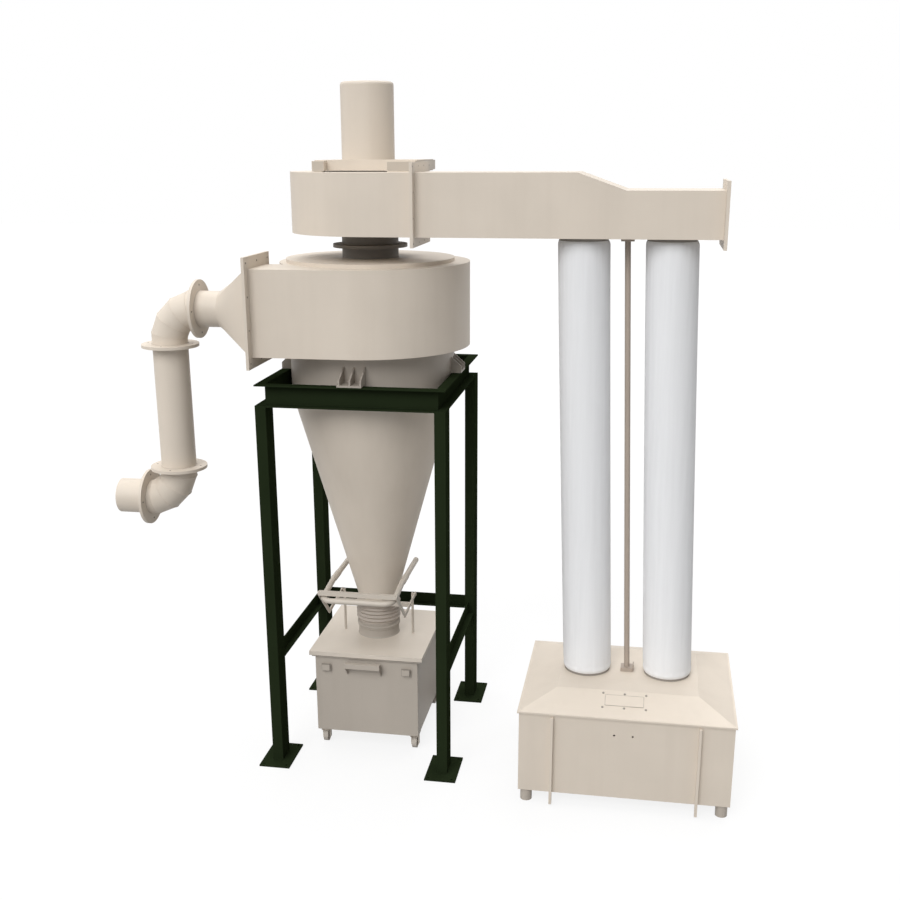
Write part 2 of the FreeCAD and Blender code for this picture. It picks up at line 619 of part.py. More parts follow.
def square_to_round(inset):
    """The solid between the duct's rectangle and the pipe's circle, smaller by inset all round."""
    start = "-inlet_end - 2 * flange_gauge"
    low, high = "scroll_floor + " + inset, "scroll_roof - " + inset
    near, far = "%s + %s" % (INLET_FRONT, inset), "%s + inlet_wide - %s" % (INLET_FRONT, inset)
    square = Part.makePolygon([point(start, near, low), point(start, far, low), point(start, far, high),
                               point(start, near, high), point(start, near, low)])
    centre = point(start + " - cone_piece_long", INLET_Y, INLET_Z)
    radius = number("pipe_r - " + inset)
    eighth = math.radians(45)

    def on_circle(index):
        turn = eighth * (index + 5)
        return centre + AXES["y"] * (radius * math.cos(turn)) + AXES["z"] * (radius * math.sin(turn))

    arcs = [Part.Arc(on_circle(index), on_circle(index + 1), on_circle(index + 2)).toShape()
            for index in range(0, 8, 2)]
    return Part.makeLoft([square, Part.Wire(arcs)], True, True)


def inlet_pipe():
    """From the open stub up to the scroll: two gored elbows, a down pipe and a square-to-round piece."""
    rim = block("inlet_rim", "-inlet_end - 2 * flange_gauge", "-inlet_end", INLET_FRONT + " - duct_rim_y",
                INLET_FRONT + " + inlet_wide + duct_rim_y", "scroll_floor - duct_rim_z",
                "scroll_roof + duct_rim_z")
    mouth = block("inlet_mouth", "-inlet_end - 2 * flange_gauge", "-inlet_end",
                  INLET_FRONT + " + sheet_gauge", INLET_FRONT + " + inlet_wide - sheet_gauge",
                  "scroll_floor", "scroll_roof - plate_gauge")
    node("inlet_flange", cut("inlet_flange", rim, [mouth]))

    reducer = shaped("reducer", square_to_round("0").cut(square_to_round("sheet_gauge")))
    collar = tube("inlet_collar", "pipe_r", "sheet_gauge", "collar_long", "-upper_flange_x", INLET_Y,
                  INLET_Z, "x")
    node("square_to_round", join("square_to_round", [reducer, collar]))

    elbow = gored_elbow("upper_elbow", point("-upper_flange_x", INLET_Y, INLET_Z), number("upper_bend"),
                        -AXES["x"], -AXES["z"])
    node("upper_elbow", elbow)
    node("down_pipe", tube("down_pipe", "pipe_r", "sheet_gauge", INLET_Z + " - upper_bend - lower_joint_z",
                           "-pipe_x", INLET_Y, "lower_joint_z"))
    elbow = gored_elbow("lower_elbow", point("-pipe_x", INLET_Y, "lower_joint_z"), number("lower_bend"),
                        -AXES["z"], -AXES["x"])
    node("lower_elbow", elbow)
    stub = tube("open_stub", "pipe_r", "sheet_gauge", "stub_long", "-stub_end_x", INLET_Y, "pipe_low_z", "x")
    ring = flange_ring("stub_flange", "-lower_flange_x - flange_gauge", INLET_Y, "pipe_low_z", "x")
    node("inlet_stub", join("inlet_stub", [stub, ring]))
    rings = [
        flange_ring("upper_side_flange", "-upper_flange_x - flange_gauge", INLET_Y, INLET_Z, "x"),
        flange_ring("upper_joint_flange", "-pipe_x", INLET_Y, "upper_joint_z - flange_gauge", "z"),
        flange_ring("lower_joint_flange", "-pipe_x", INLET_Y, "lower_joint_z - flange_gauge", "z"),
    ]
    node("pipe_flanges", join("pipe_flanges", rings))


def fan():
    """Volute casing with its outlet flange, motor rails and the upright motor."""
    half = "fan_step / 2"
    back = "(fan_left - fan_step)"
    right = "(fan_left - 2 * fan_step)"
    body = solid_of("fan_casing")
    padded(body, outline(body, "fan_outline", "XY_Plane", [
        ("fan_flange_x - flange_gauge", DUCT_BACK),
        (right, DUCT_BACK),
        (right, half, "-" + half, half, "left"),
        ("-" + half, back, "-" + half, "-" + half, "left"),
        ("-fan_left", "-" + half, half, "-" + half, "left"),
        (half, DUCT_FRONT),
        ("fan_flange_x - flange_gauge", DUCT_FRONT)], "fan_bottom"), "fan_top - fan_bottom", "fan_pad")
    node("fan_casing", body)

    rim = block("fan_rim_plate", "fan_flange_x - flange_gauge", "fan_flange_x + flange_gauge",
                DUCT_FRONT + " - fan_rim", DUCT_BACK + " + fan_rim", "fan_bottom - fan_rim",
                "fan_top + fan_rim")
    mouth = block("fan_mouth", "fan_flange_x - flange_gauge", "fan_flange_x + flange_gauge",
                  DUCT_FRONT + " + sheet_gauge", DUCT_BACK + " - sheet_gauge", "fan_bottom + sheet_gauge",
                  "fan_top - sheet_gauge")
    node("fan_outlet_flange", cut("fan_outlet_flange", rim, [mouth]))

    rails = []
    for where, x0, x1 in (("left", "-rail_left_x", "-rail_left_x + rail_left_wide"),
                          ("right", "rail_right_x - rail_right_wide", "rail_right_x")):
        rails.append(block("rail_" + where, x0, x1, "-rail_front", "rail_back", "fan_top + rail_lift",
                           "rail_top"))
        for end, y0 in (("front", "-rail_front"), ("back", "rail_back - rail_foot")):
            rails.append(block("rail_foot_%s_%s" % (where, end), x0 + " + rail_foot_inset",
                               x1 + " - rail_foot_inset", y0, y0 + " + rail_foot", "fan_top",
                               "fan_top + rail_lift"))
    for end, y0 in (("front", "-rail_front + cross_inset"),
                    ("back", "rail_back - cross_inset - cross_wide")):
        rails.append(block("cross_beam_" + end, "-rail_left_x + rail_left_wide",
                           "rail_right_x - rail_right_wide", y0, y0 + " + cross_wide", "fan_top + rail_lift",
                           "rail_top"))
    rails.append(block("motor_plate", "-rail_left_x", "rail_right_x", "-rail_front + cross_inset",
                       "rail_back - cross_inset", "rail_top", "motor_bottom"))
    node("motor_rails", join("motor_rails", rails))
    node("motor", revolved("motor", [
        ("0", "motor_bottom"), ("motor_r", "motor_bottom"),
        ("motor_r", "motor_top - motor_edge", "motor_r - motor_edge", "motor_top - motor_edge", "left"),
        ("motor_r - motor_edge", "motor_top"), ("0", "motor_top")]))


def outlet_duct():
    """The duct from the fan over the bags: level, with a step down in its top, and a blind end."""
    def run(name, inset):
        body = solid_of(name)
        sketch = outline(body, name + "_outline", "XZ_Plane", [
            ("fan_flange_x + flange_gauge", "fan_bottom + " + inset),
            ("duct_end", "fan_bottom + " + inset), ("duct_end", "duct_low_top - " + inset),
            ("duct_slope_end", "duct_low_top - " + inset), ("duct_slope_start", "fan_top - " + inset),
            ("fan_flange_x + flange_gauge", "fan_top - " + inset)], "-(%s - %s)" % (DUCT_BACK, inset))
        padded(body, sketch, "duct_wide - 2 * (%s)" % inset, name + "_pad")
        return body

    node("outlet_duct", cut("outlet_duct", run("duct_outside", "0"), [run("duct_inside", "sheet_gauge")]))
    rim = block("end_rim_plate", "duct_end - flange_gauge", "duct_end", DUCT_FRONT + " - end_rim",
                DUCT_BACK + " + end_rim", "fan_bottom - end_rim", "duct_low_top + end_rim")
    mouth = block("end_mouth", "duct_end - flange_gauge", "duct_end", DUCT_FRONT, DUCT_BACK, "fan_bottom",
                  "duct_low_top")
    plate = block("blind_plate", "duct_end", "duct_end + flange_gauge", DUCT_FRONT + " - end_rim",
                  DUCT_BACK + " + end_rim", "fan_bottom - end_rim", "duct_low_top + end_rim")
    node("duct_end_plates", join("duct_end_plates", [cut("end_ring", rim, [mouth]), plate]))


def filter_bags():
    """Two cloth bags between cuffs on the duct and on the dust box, and the tie bar between them."""
    low, high = "(roof_top + bag_low_cuff)", "(fan_bottom - bag_cuff)"
    cuffs = []
    for index, which in enumerate(("first", "second")):
        x = "(bag_first_x + %d * bag_pitch)" % index
        rings = []
        for radius, shift, z in (("bag_cuff_r", "0", high), ("bag_r", "0", high + " - bag_shoulder"),
                                 ("bag_r", "bag_shift", low + " + bag_shoulder"),
                                 ("bag_cuff_r", "bag_shift", low)):
            middle = point("%s + %s" % (x, shift), DUCT_Y, z)
            rings.append(Part.Wire(Part.makeCircle(number(radius), middle, AXES["z"])))
        node("filter_bag_" + which, shaped("filter_bag_" + which, Part.makeLoft(rings, True, True)))
        cuffs.append(rod("upper_cuff_" + which, "bag_cuff_r", "bag_cuff", x, DUCT_Y, high))
        cuffs.append(rod("lower_cuff_" + which, "bag_cuff_r", "bag_low_cuff", x + " + bag_shift", DUCT_Y,
                         "roof_top"))
    node("bag_cuffs", join("bag_cuffs", cuffs))

    x = "(bag_first_x + bag_pitch / 2)"
    ends = [point(x + " + bag_shift", DUCT_Y, "roof_top + tie_head_rise"),
            point(x, DUCT_Y, "fan_bottom - tie_head_rise")]
    bar = shaped("tie_rod", Part.makeLoft(
        [Part.Wire(Part.makeCircle(number("tie_r"), end, AXES["z"])) for end in ends], True, True))
    blocks = [block("tie_" + which, middle + " - tie_head / 2", middle + " + tie_head / 2",
                    DUCT_Y + " - tie_head / 2", DUCT_Y + " + tie_head / 2", z, z + " + tie_head_rise")
              for which, middle, z in (("head", x, "fan_bottom - tie_head_rise"),
                                       ("foot", "(%s + bag_shift)" % x, "roof_top"))]
    node("tie_bar", join("tie_bar", [bar] + blocks))


def hip(inset):
    """The dust box's hipped roof as a solid, smaller by inset."""
    rings = []
    for gap, z in (("0", "box_top"), ("roof_inset", "roof_top")):
        x0, x1 = "box_left + %s + %s" % (gap, inset), "%s - %s - %s" % (BOX_RIGHT, gap, inset)
        y0, y1 = "-box_front + %s + %s" % (gap, inset), "%s - %s - %s" % (BOX_BACK, gap, inset)
        z = "%s - %s" % (z, inset)
        rings.append(Part.makePolygon([point(x0, y0, z), point(x1, y0, z), point(x1, y1, z),
                                       point(x0, y1, z), point(x0, y0, z)]))
    return Part.makeLoft(rings, True, True)


def dust_box():
    """Dust box with a hipped roof, a bolted cover on its front slope, runners and feet."""
    shell = block("box_outside", "box_left", BOX_RIGHT, "-box_front", BOX_BACK, "box_foot", "box_top")
    hollow = block("box_inside", "box_left + sheet_gauge", BOX_RIGHT + " - sheet_gauge",
                   "-box_front + sheet_gauge", BOX_BACK + " - sheet_gauge", "box_foot + sheet_gauge",
                   "box_top")
    drains = [rod("drain_" + which, "drain_r", "sheet_gauge", "drain_x" + across, "-box_front", "drain_z",
                  "y")
              for which, across in (("left", ""), ("right", " + drain_pitch"))]
    node("dust_box", cut("dust_box", shell, [hollow] + drains))
    roof = shaped("roof_sheet", hip("0").cut(hip("plate_gauge")))
    rim = cut("eaves", block("eaves_outside", "box_left - box_rim", BOX_RIGHT + " + box_rim",
                             "-box_front - box_rim", BOX_BACK + " + box_rim", "box_top - box_rim",
                             "box_top"),
              [block("eaves_inside", "box_left", BOX_RIGHT, "-box_front", BOX_BACK, "box_top - box_rim",
                     "box_top")])
    node("dust_box_roof", join("dust_box_roof", [roof, rim]))

    body = solid_of("access_cover")
    slope = "(roof_top - box_top) / roof_inset"
    low_y, high_y = "(cover_start - box_front)", "(cover_start + cover_reach - box_front)"
    low_z = "(box_top + cover_start * %s)" % slope
    high_z = "(box_top + (cover_start + cover_reach) * %s)" % slope
    padded(body, outline(body, "cover_outline", "YZ_Plane", [
        (low_y, low_z), (high_y, high_z), (high_y, high_z + " + cover_gauge"),
        (low_y, low_z + " + cover_gauge")], "cover_left"), "cover_wide", "cover_pad")
    node("access_cover", body)

    runners = [block("runner_" + where, x0, x0 + " + runner_gauge", "-box_front - runner_deep", "-box_front",
                     "runner_foot", "box_top - 2 * box_rim")
               for where, x0 in (("left", "box_left + runner_inset"),
                                 ("right", BOX_RIGHT + " - runner_inset - runner_gauge"))]
    node("front_runners", join("front_runners", runners))
    feet = []
    for side, end in signs():
        x = "box_left + box_foot_inset" if side else BOX_RIGHT + " - box_foot_inset"
        y = "-box_front + box_foot_inset" if end else BOX_BACK + " - box_foot_inset"
        feet.append(rod("box_foot_" + names_of(side, end), "box_foot_r", "box_foot", x, y, "0"))
    node("dust_box_feet", join("dust_box_feet", feet))


def bin_on_castors():
    """Open bin with a turned-out rim, castor plates, a pull handle and two catches."""
    shell = block("bin_outside", "-bin_half_x", "bin_half_x", "-bin_half_y", "bin_half_y", "bin_bottom",
                  "bin_rim_z")
    rim = block("bin_rim_plate", "-bin_half_x - bin_rim", "bin_half_x + bin_rim", "-bin_half_y - bin_rim",
                "bin_half_y + bin_rim", "bin_rim_z - bin_wall", "bin_rim_z")
    hollow = block("bin_inside", "-bin_half_x + bin_wall", "bin_half_x - bin_wall", "-bin_half_y + bin_wall",
                   "bin_half_y - bin_wall", "bin_bottom + bin_wall", "bin_rim_z")
    plates = [block("castor_plate_" + names_of(side, end), "%scastor_x - castor_plate_half" % side,
                    "%scastor_x + castor_plate_half" % side, "%scastor_y - castor_plate_half" % end,
                    "%scastor_y + castor_plate_half" % end, "bin_bottom - fork_gauge", "bin_bottom")
              for side, end in signs()]
    node("bin", cut("bin", join("bin_with_rim", [shell, rim] + plates), [hollow]))

    bar_y, half = "(-bin_half_y - handle_reach)", "handle_side / 2"
    fittings = [block("handle_bar", "-handle_left", "handle_right", "%s - %s" % (bar_y, half),
                      "%s + %s" % (bar_y, half), "handle_z - " + half, "handle_z + " + half)]
    for where, x0 in (("left", "-handle_left"), ("right", "handle_right - handle_plate")):
        body = solid_of("handle_plate_" + where)
        sketch = outline(body, "handle_plate_outline_" + where, "YZ_Plane", [
            ("%s - %s" % (bar_y, half), "handle_z - " + half), ("-bin_half_y", "handle_z - handle_drop"),
            ("-bin_half_y", "handle_z - handle_drop + handle_strap"),
            ("%s + %s" % (bar_y, half), "handle_z + " + half),
            ("%s - %s" % (bar_y, half), "handle_z + " + half)], x0)
        padded(body, sketch, "handle_plate", "handle_plate_pad_" + where)
        fittings.append(body)
    for where, middle in (("left", "-catch_x"), ("right", "catch_x")):
        fittings.append(block("catch_" + where, middle + " - catch_half", middle + " + catch_half",
                              "-bin_half_y - catch_deep", "-bin_half_y", "catch_low",
                              "catch_low + catch_rise"))
    node("bin_fittings", join("bin_fittings", fittings))


def castors():
    """Four swivel castors: a fork with its axle, and a wheel with a bore."""
    crown_z = "(2 * wheel_r + safe_gap)"
    gap = "(wheel_wide / 2 + safe_gap)"
    for side, end in signs():
        where = names_of(side, end)
        x, y = "%scastor_x" % side, "%scastor_y" % end
        wheel_y = "(%s + castor_trail)" % y
        crown = block("crown_" + where, "%s - %s - fork_gauge" % (x, gap), "%s + %s + fork_gauge" % (x, gap),
                      y + " - fork_half", wheel_y + " + fork_half", crown_z, crown_z + " + fork_gauge")
        swivel = rod("swivel_" + where, "swivel_r", "bin_bottom - fork_gauge - joint_play - " + crown_z,
                     x, y, crown_z)
        cheeks = [block("cheek_%s_%s" % (where, hand), x0, x0 + " + fork_gauge", wheel_y + " - fork_half",
                        wheel_y + " + fork_half", "wheel_r - fork_half", crown_z)
                  for hand, x0 in (("left", "%s - %s - fork_gauge" % (x, gap)),
                                   ("right", "%s + %s" % (x, gap)))]
        axle = rod("axle_" + where, "axle_r", "2 * " + gap, "%s - %s" % (x, gap), wheel_y, "wheel_r", "x")
        node("castor_fork_" + where, join("castor_fork_" + where, [crown, swivel, axle] + cheeks))
        wheel = tube("castor_wheel_" + where, "wheel_r", "wheel_r - axle_r - joint_play", "wheel_wide",
                     x + " - wheel_wide / 2", wheel_y, "wheel_r", "x")
        node("castor_wheel_" + where, wheel)


def lid():
    """The bin's lid with its spigot, the lift rods with their pins, and the bellows up to the spout."""
    slab = block("lid_slab", "-lid_half_x", "lid_half_x", "-lid_half_y", "lid_half_y", "lid_under",
                 "lid_top")
    collar = rod("spigot_outside", "spout_r", "spigot_top - lid_top", "0", "0", "lid_top")
    bore = rod("spigot_bore", "spout_r - sheet_gauge", "spigot_top - lid_under", "0", "0", "lid_under")
    node("bin_lid", cut("bin_lid", join("lid_with_spigot", [slab, collar]), [bore]))

    pieces = []
    for hand, x, pin_x in (("left", "-rod_x", "-link_x - link_gauge - 2 * slot_play"),
                           ("right", "rod_x", "rod_x")):
        pieces.append(rod("lift_rod_" + hand, "rod_r", "rod_top + rod_r - lid_top", x, "0", "lid_top"))
        pieces.append(rod("rod_pin_" + hand, "pin_r", "link_x + link_gauge + 2 * slot_play - rod_x", pin_x,
                          "0", "rod_top", "x"))
        head_x = "-link_x - link_gauge - slot_play - pin_head" if hand == "left" \
            else "link_x + link_gauge + slot_play"
        pieces.append(rod("rod_pin_head_" + hand, "pin_head_r", "pin_head", head_x, "0", "rod_top", "x"))
    node("lift_rods", join("lift_rods", pieces))

    spout_low = "(cone_bottom - spout_drop)"
    pitch = "((%s - spigot_top) / bellows_folds)" % spout_low
    inner = "(spout_r + joint_play)"
    faces = [(inner, "bellows_low")]
    for index in range(int(number("bellows_folds"))):
        faces.append((inner, "spigot_top + %d * %s" % (index, pitch)))
        faces.append(("%s + bellows_wave" % inner, "spigot_top + (%d + 1 / 2) * %s" % (index, pitch)))
    faces += [(inner, spout_low), (inner, "bellows_high")]
    outside = [(radius + " + bellows_skin", z) for radius, z in reversed(faces)]
    node("bellows", revolved("bellows", faces + outside))


def disc(centre, radius):
    """A round face across X."""
    return Part.Face(Part.Wire(Part.makeCircle(number(radius), centre, AXES["x"])))


def lever():
    """The fixed pivot bar, and the lever on it: two side links, a front bar and a bent tube."""
    bar = block("pivot_beam", "-link_x + slot_play", "link_x - slot_play", "-pivot_y - bar_r",
                "-pivot_y + bar_r", "pivot_z - bar_r", "pivot_z + bar_r")
    saddle = cut("pivot_saddle_block",
                 block("saddle_outside", "-pivot_saddle", "pivot_saddle", "-pivot_y", "0", "pivot_z - bar_r",
                       "pivot_z + bar_r"),
                 [rod("saddle_seat", "spout_r", "bar_side", "0", "0", "pivot_z - bar_r")])
    pins = [rod("pivot_pins", "pin_r", "2 * (link_x + link_gauge + slot_play)",
                "-link_x - link_gauge - slot_play", "-pivot_y", "pivot_z", "x")]
    for hand, x in (("left", "-link_x - link_gauge - slot_play - pin_head"),
                    ("right", "link_x + link_gauge + slot_play")):
        pins.append(rod("pivot_head_" + hand, "pin_head_r", "pin_head", x, "-pivot_y", "pivot_z", "x"))
    node("pivot_bar", join("pivot_bar", [bar, saddle] + pins))

    links = []
    for x in ("-link_x - link_gauge", "link_x"):
        route = Part.makePolygon([point(x, "-bar_y", "bar_z"), point(x, "-apex_y", "apex_z"),
                                  point(x, "-pivot_y", "pivot_z"), point(x, "slot_out", "rod_top")])
        flat = Part.Face(route.makeOffset2D(number("link_wide / 2")))
        openings = [disc(point(x, "-pivot_y", "pivot_z"), "pin_r + joint_play"),
                    disc(point(x, "-slot_back", "rod_top"), "pin_r + slot_play"),
                    disc(point(x, "slot_out", "rod_top"), "pin_r + slot_play")]
        slot = [point(x, y, z) for y, z in (("-slot_back", "rod_top - pin_r - slot_play"),
                                            ("slot_out", "rod_top - pin_r - slot_play"),
                                            ("slot_out", "rod_top + pin_r + slot_play"),
                                            ("-slot_back", "rod_top + pin_r + slot_play"))]
        openings.append(Part.Face(Part.makePolygon(slot + slot[:1])))
        links.append(flat.cut(openings).extrude(AXES["x"] * number("link_gauge")))
    front = block("front_bar", "-link_x", "link_x", "-bar_y - bar_r", "-bar_y + bar_r", "bar_z - bar_r",
                  "bar_z + bar_r")
    node("side_links", join("side_links", [shaped("links", Part.makeCompound(links)), front]))
    node("lever_tube", lever_tube())


def lever_tube():
    """A round tube bent round the cone: a cross piece in front, a knee each side, and level arms with
    round free ends, sleeves and weld bosses."""
    spots = [point(*spot) for spot in (
        ("-tube_x", "tube_back_y", "tube_back_z"), ("-tube_x", "-tube_knee_y", "tube_back_z"),
        ("-tube_x", "-tube_front_y", "tube_front_z"), ("tube_x", "-tube_front_y", "tube_front_z"),
        ("tube_x", "-tube_knee_y", "tube_back_z"), ("tube_x", "tube_back_y", "tube_back_z"))]
    bends = [number(bend) for bend in ("knee_bend", "tube_bend", "tube_bend", "knee_bend")]
    edges, here = [], spots[0]
    for before, corner, after, bend in zip(spots, spots[1:], spots[2:], bends):
        back, on = (before - corner).normalize(), (after - corner).normalize()
        half_turn = (math.pi - back.getAngle(on)) / 2
        first = corner + back * (bend * math.tan(half_turn))
        last = corner + on * (bend * math.tan(half_turn))
        middle = corner + (back + on).normalize() * (bend / math.cos(half_turn) - bend)
        edges += [Part.LineSegment(here, first).toShape(), Part.Arc(first, middle, last).toShape()]
        here = last
    edges.append(Part.LineSegment(here, spots[-1]).toShape())
    radius = number("tube_r")
    start = Part.Wire(Part.makeCircle(radius, spots[0], AXES["y"]))
    bent = Part.Wire(edges).makePipeShell([start], True, True)
    balls = [Part.makeSphere(radius, end) for end in (spots[0], spots[-1])]
    extras = []
    for hand, x in (("left", "-tube_x"), ("right", "tube_x")):
        extras.append(rod("sleeve_" + hand, "sleeve_r", "sleeve_start - sleeve_end", x, "-sleeve_start",
                          "tube_back_z", "y"))
        boss_x = "-link_x" if hand == "left" else "tube_x"
        extras.append(rod("boss_" + hand, "boss_r", "link_x - tube_x", boss_x, "-boss_y", "boss_z", "x"))
    return join("lever_tube", [shaped("bent_tube", bent.multiFuse(balls))] + extras)


INLET_FRONT = "-(scroll_step / 2 + scroll_first_r)"
INLET_Y = "(%s + inlet_wide / 2)" % INLET_FRONT
INLET_Z = "((scroll_floor + scroll_roof) / 2)"
DUCT_FRONT = "-(fan_left + fan_step)"
DUCT_BACK = "(%s + duct_wide)" % DUCT_FRONT
DUCT_Y = "(%s + duct_wide / 2)" % DUCT_FRONT
BOX_RIGHT = "(box_left + box_wide)"
BOX_BACK = "(box_deep - box_front)"

stand()
support_brackets()
cyclone()
inlet_pipe()
fan()
outlet_duct()
filter_bags()
dust_box()
bin_on_castors()
castors()
lid()
lever()
doc.recompute()

broken = [item.Label for item in doc.Objects if "Invalid" in item.State or "Error" in item.State]
broken += [name for name, item in NODES.items() if item.Shape.isNull() or not item.Shape.isValid()]
if broken:
    raise SystemExit("failed: " + ", ".join(broken))
for name, item in NODES.items():
    item.Shape.exportStep("parts/%s.step" % name)
    print("%-28s %10.1f cm3 %2d solids" % (name, item.Shape.Volume / 1000, len(item.Shape.Solids)))
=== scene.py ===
"""Looks of a cyclone dust collector: paints, cloth bags, seams, fastenings, light and camera.

Lengths are in metres and in the part's frame, unless a comment says otherwise. Places come from the
boxes of the frame's nodes, or are counted from the cyclone's axis.
"""

import math

import bmesh
import bpy
from mathutils import Matrix, Vector

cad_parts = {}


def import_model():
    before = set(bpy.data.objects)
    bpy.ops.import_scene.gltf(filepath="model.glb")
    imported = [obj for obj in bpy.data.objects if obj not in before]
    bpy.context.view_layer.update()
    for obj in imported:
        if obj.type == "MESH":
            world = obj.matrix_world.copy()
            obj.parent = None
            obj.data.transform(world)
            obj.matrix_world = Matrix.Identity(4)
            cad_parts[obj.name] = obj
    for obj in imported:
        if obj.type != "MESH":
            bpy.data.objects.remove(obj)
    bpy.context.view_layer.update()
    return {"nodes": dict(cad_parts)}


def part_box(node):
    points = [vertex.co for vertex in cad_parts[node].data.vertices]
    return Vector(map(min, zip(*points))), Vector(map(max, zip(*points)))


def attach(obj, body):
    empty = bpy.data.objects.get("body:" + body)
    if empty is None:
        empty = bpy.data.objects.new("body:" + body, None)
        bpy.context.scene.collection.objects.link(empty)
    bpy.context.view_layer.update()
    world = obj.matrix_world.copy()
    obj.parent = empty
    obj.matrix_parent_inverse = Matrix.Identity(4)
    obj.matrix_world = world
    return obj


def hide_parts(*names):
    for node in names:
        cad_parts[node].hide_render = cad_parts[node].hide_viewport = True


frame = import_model()

RIGHT, UP = Vector((1, 0, 0)), Vector((0, 0, 1))
CORNER_ANGLE = math.radians(32)     # edges that bend more than this stay crisp
PIPE_POINTS = 72                    # points on a circle round a pipe


def linear(red, green, blue):
    """A screen colour, 0 to 255, as the linear colour that a shader takes."""
    channels = [value / 255 for value in (red, green, blue)]
    return [value / 12.92 if value <= 0.04045 else ((value + 0.055) / 1.055) ** 2.4
            for value in channels] + [1.0]


# Shader nodes

def fill(tree, node, values):
    """Set a node's inputs to plain values, or link them to the outputs that are given for them."""
    for name, value in values.items():
        if isinstance(value, bpy.types.NodeSocket):
            tree.links.new(value, node.inputs[name])
        else:
            node.inputs[name].default_value = value


def add_node(tree, kind, values):
    """A new node of a kind, with its inputs filled."""
    node = tree.nodes.new(kind)
    fill(tree, node, values)
    return node


def calculate(tree, operation, first, second):
    """The result of a sum on two values."""
    node = add_node(tree, "ShaderNodeMath", {0: first, 1: second})
    node.operation = operation
    return node.outputs["Value"]


def mix_colours(tree, first, second, factor, way="MIX"):
    """Two colours mixed by a factor."""
    node = tree.nodes.new("ShaderNodeMix")
    node.data_type = "RGBA"
    node.blend_type = way
    fill(tree, node, {"A": first, "B": second, "Factor": factor})
    return node.outputs["Result"]


def noise(tree, place, scale, detail):
    """Noise, 0 to 1, at the coordinates of a place."""
    return add_node(tree, "ShaderNodeTexNoise",
                    {"Vector": place, "Scale": scale, "Detail": detail}).outputs["Fac"]


def stretched(tree, place, scale):
    """The coordinates of a place, scaled along X, Y and Z."""
    return add_node(tree, "ShaderNodeMapping", {"Vector": place, "Scale": scale}).outputs["Vector"]


def remap(tree, value, limits):
    """A value, 0 to 1, brought to other limits."""
    return add_node(tree, "ShaderNodeMapRange", {"Value": value, **limits}).outputs["Result"]


def bump(tree, height, strength, distance, under=None):
    """A normal that follows a height, laid over the normal under it."""
    values = {"Height": height, "Strength": strength, "Distance": distance}
    if under is not None:
        values["Normal"] = under
    return add_node(tree, "ShaderNodeBump", values).outputs["Normal"]


def scaled(colour, share):
    """A colour made darker or lighter."""
    return [min(1, value * share) for value in colour[:3]] + [1]


def new_material(name):
    """A node material, its tree, its shader and the object's own coordinates."""
    made = bpy.data.materials.new(name)
    made.use_nodes = True
    tree = made.node_tree
    place = tree.nodes.new("ShaderNodeTexCoord").outputs["Object"]
    return made, tree, tree.nodes["Principled BSDF"], place


# Materials

MOTTLE_SCALE, MOTTLE_DETAIL = 2.3, 5            # slow patches of lighter and darker paint
RUNS_STRETCH, RUNS_DETAIL = (9, 9, 0.7), 4      # dust runs: narrow across, long downwards
RUNS_LIMITS = {"From Min": 0.45, "From Max": 0.75}
DUST = (0.72, 0.69, 0.66, 1)                    # what the full strength of a dust run multiplies by
PEEL_SCALE, PEEL_DETAIL, PEEL_DEPTH = 160, 2, 0.002
SMOOTHER, ROUGHER = 0.08, 0.12                  # how far the roughness strays from its mean

CREASE_STRETCH, CREASE_SCALE, CREASE_DETAIL = (22, 22, 0.9), 1.6, 5
CREASE_STRENGTH, CREASE_DEPTH = 0.35, 0.01
WEAVE_SCALE, WEAVE_DISTORTION = 260, 1.5
WEAVE_STRENGTH, WEAVE_DEPTH = 0.18, 0.001
# painted shade and light: how far the cloth's colour darkens in the creases' hollows and lightens
# on their ridges
CREASE_HOLLOW_SHADE, CREASE_RIDGE_LIGHT = 0.93, 1.04
CLOTH_ROUGHNESS, SHEEN, SHEEN_ROUGHNESS = 0.82, 0.06, 0.4


def paint(name, colour, rough=0.5, grain=0.12, mottle=0.05, streak=0.0, shine=0.5):
    """Sprayed paint: orange-peel bump, slowly mottled colour, and dust streaks that run down."""
    made, tree, shader, place = new_material(name)
    patches = noise(tree, place, MOTTLE_SCALE, MOTTLE_DETAIL)
    runs = noise(tree, stretched(tree, place, RUNS_STRETCH), 1.0, RUNS_DETAIL)
    peel = noise(tree, place, PEEL_SCALE, PEEL_DETAIL)
    base = mix_colours(tree, scaled(colour, 1 - 2 * mottle), scaled(colour, 1 + mottle), patches)
    dusty = remap(tree, runs, {**RUNS_LIMITS, "To Max": streak})
    fill(tree, shader, {
        "Base Color": mix_colours(tree, base, DUST, dusty, "MULTIPLY"),
        "Roughness": remap(tree, patches, {"To Min": rough - SMOOTHER, "To Max": rough + ROUGHER}),
        "Specular IOR Level": shine,
        "Normal": bump(tree, peel, grain, PEEL_DEPTH),
    })
    return made


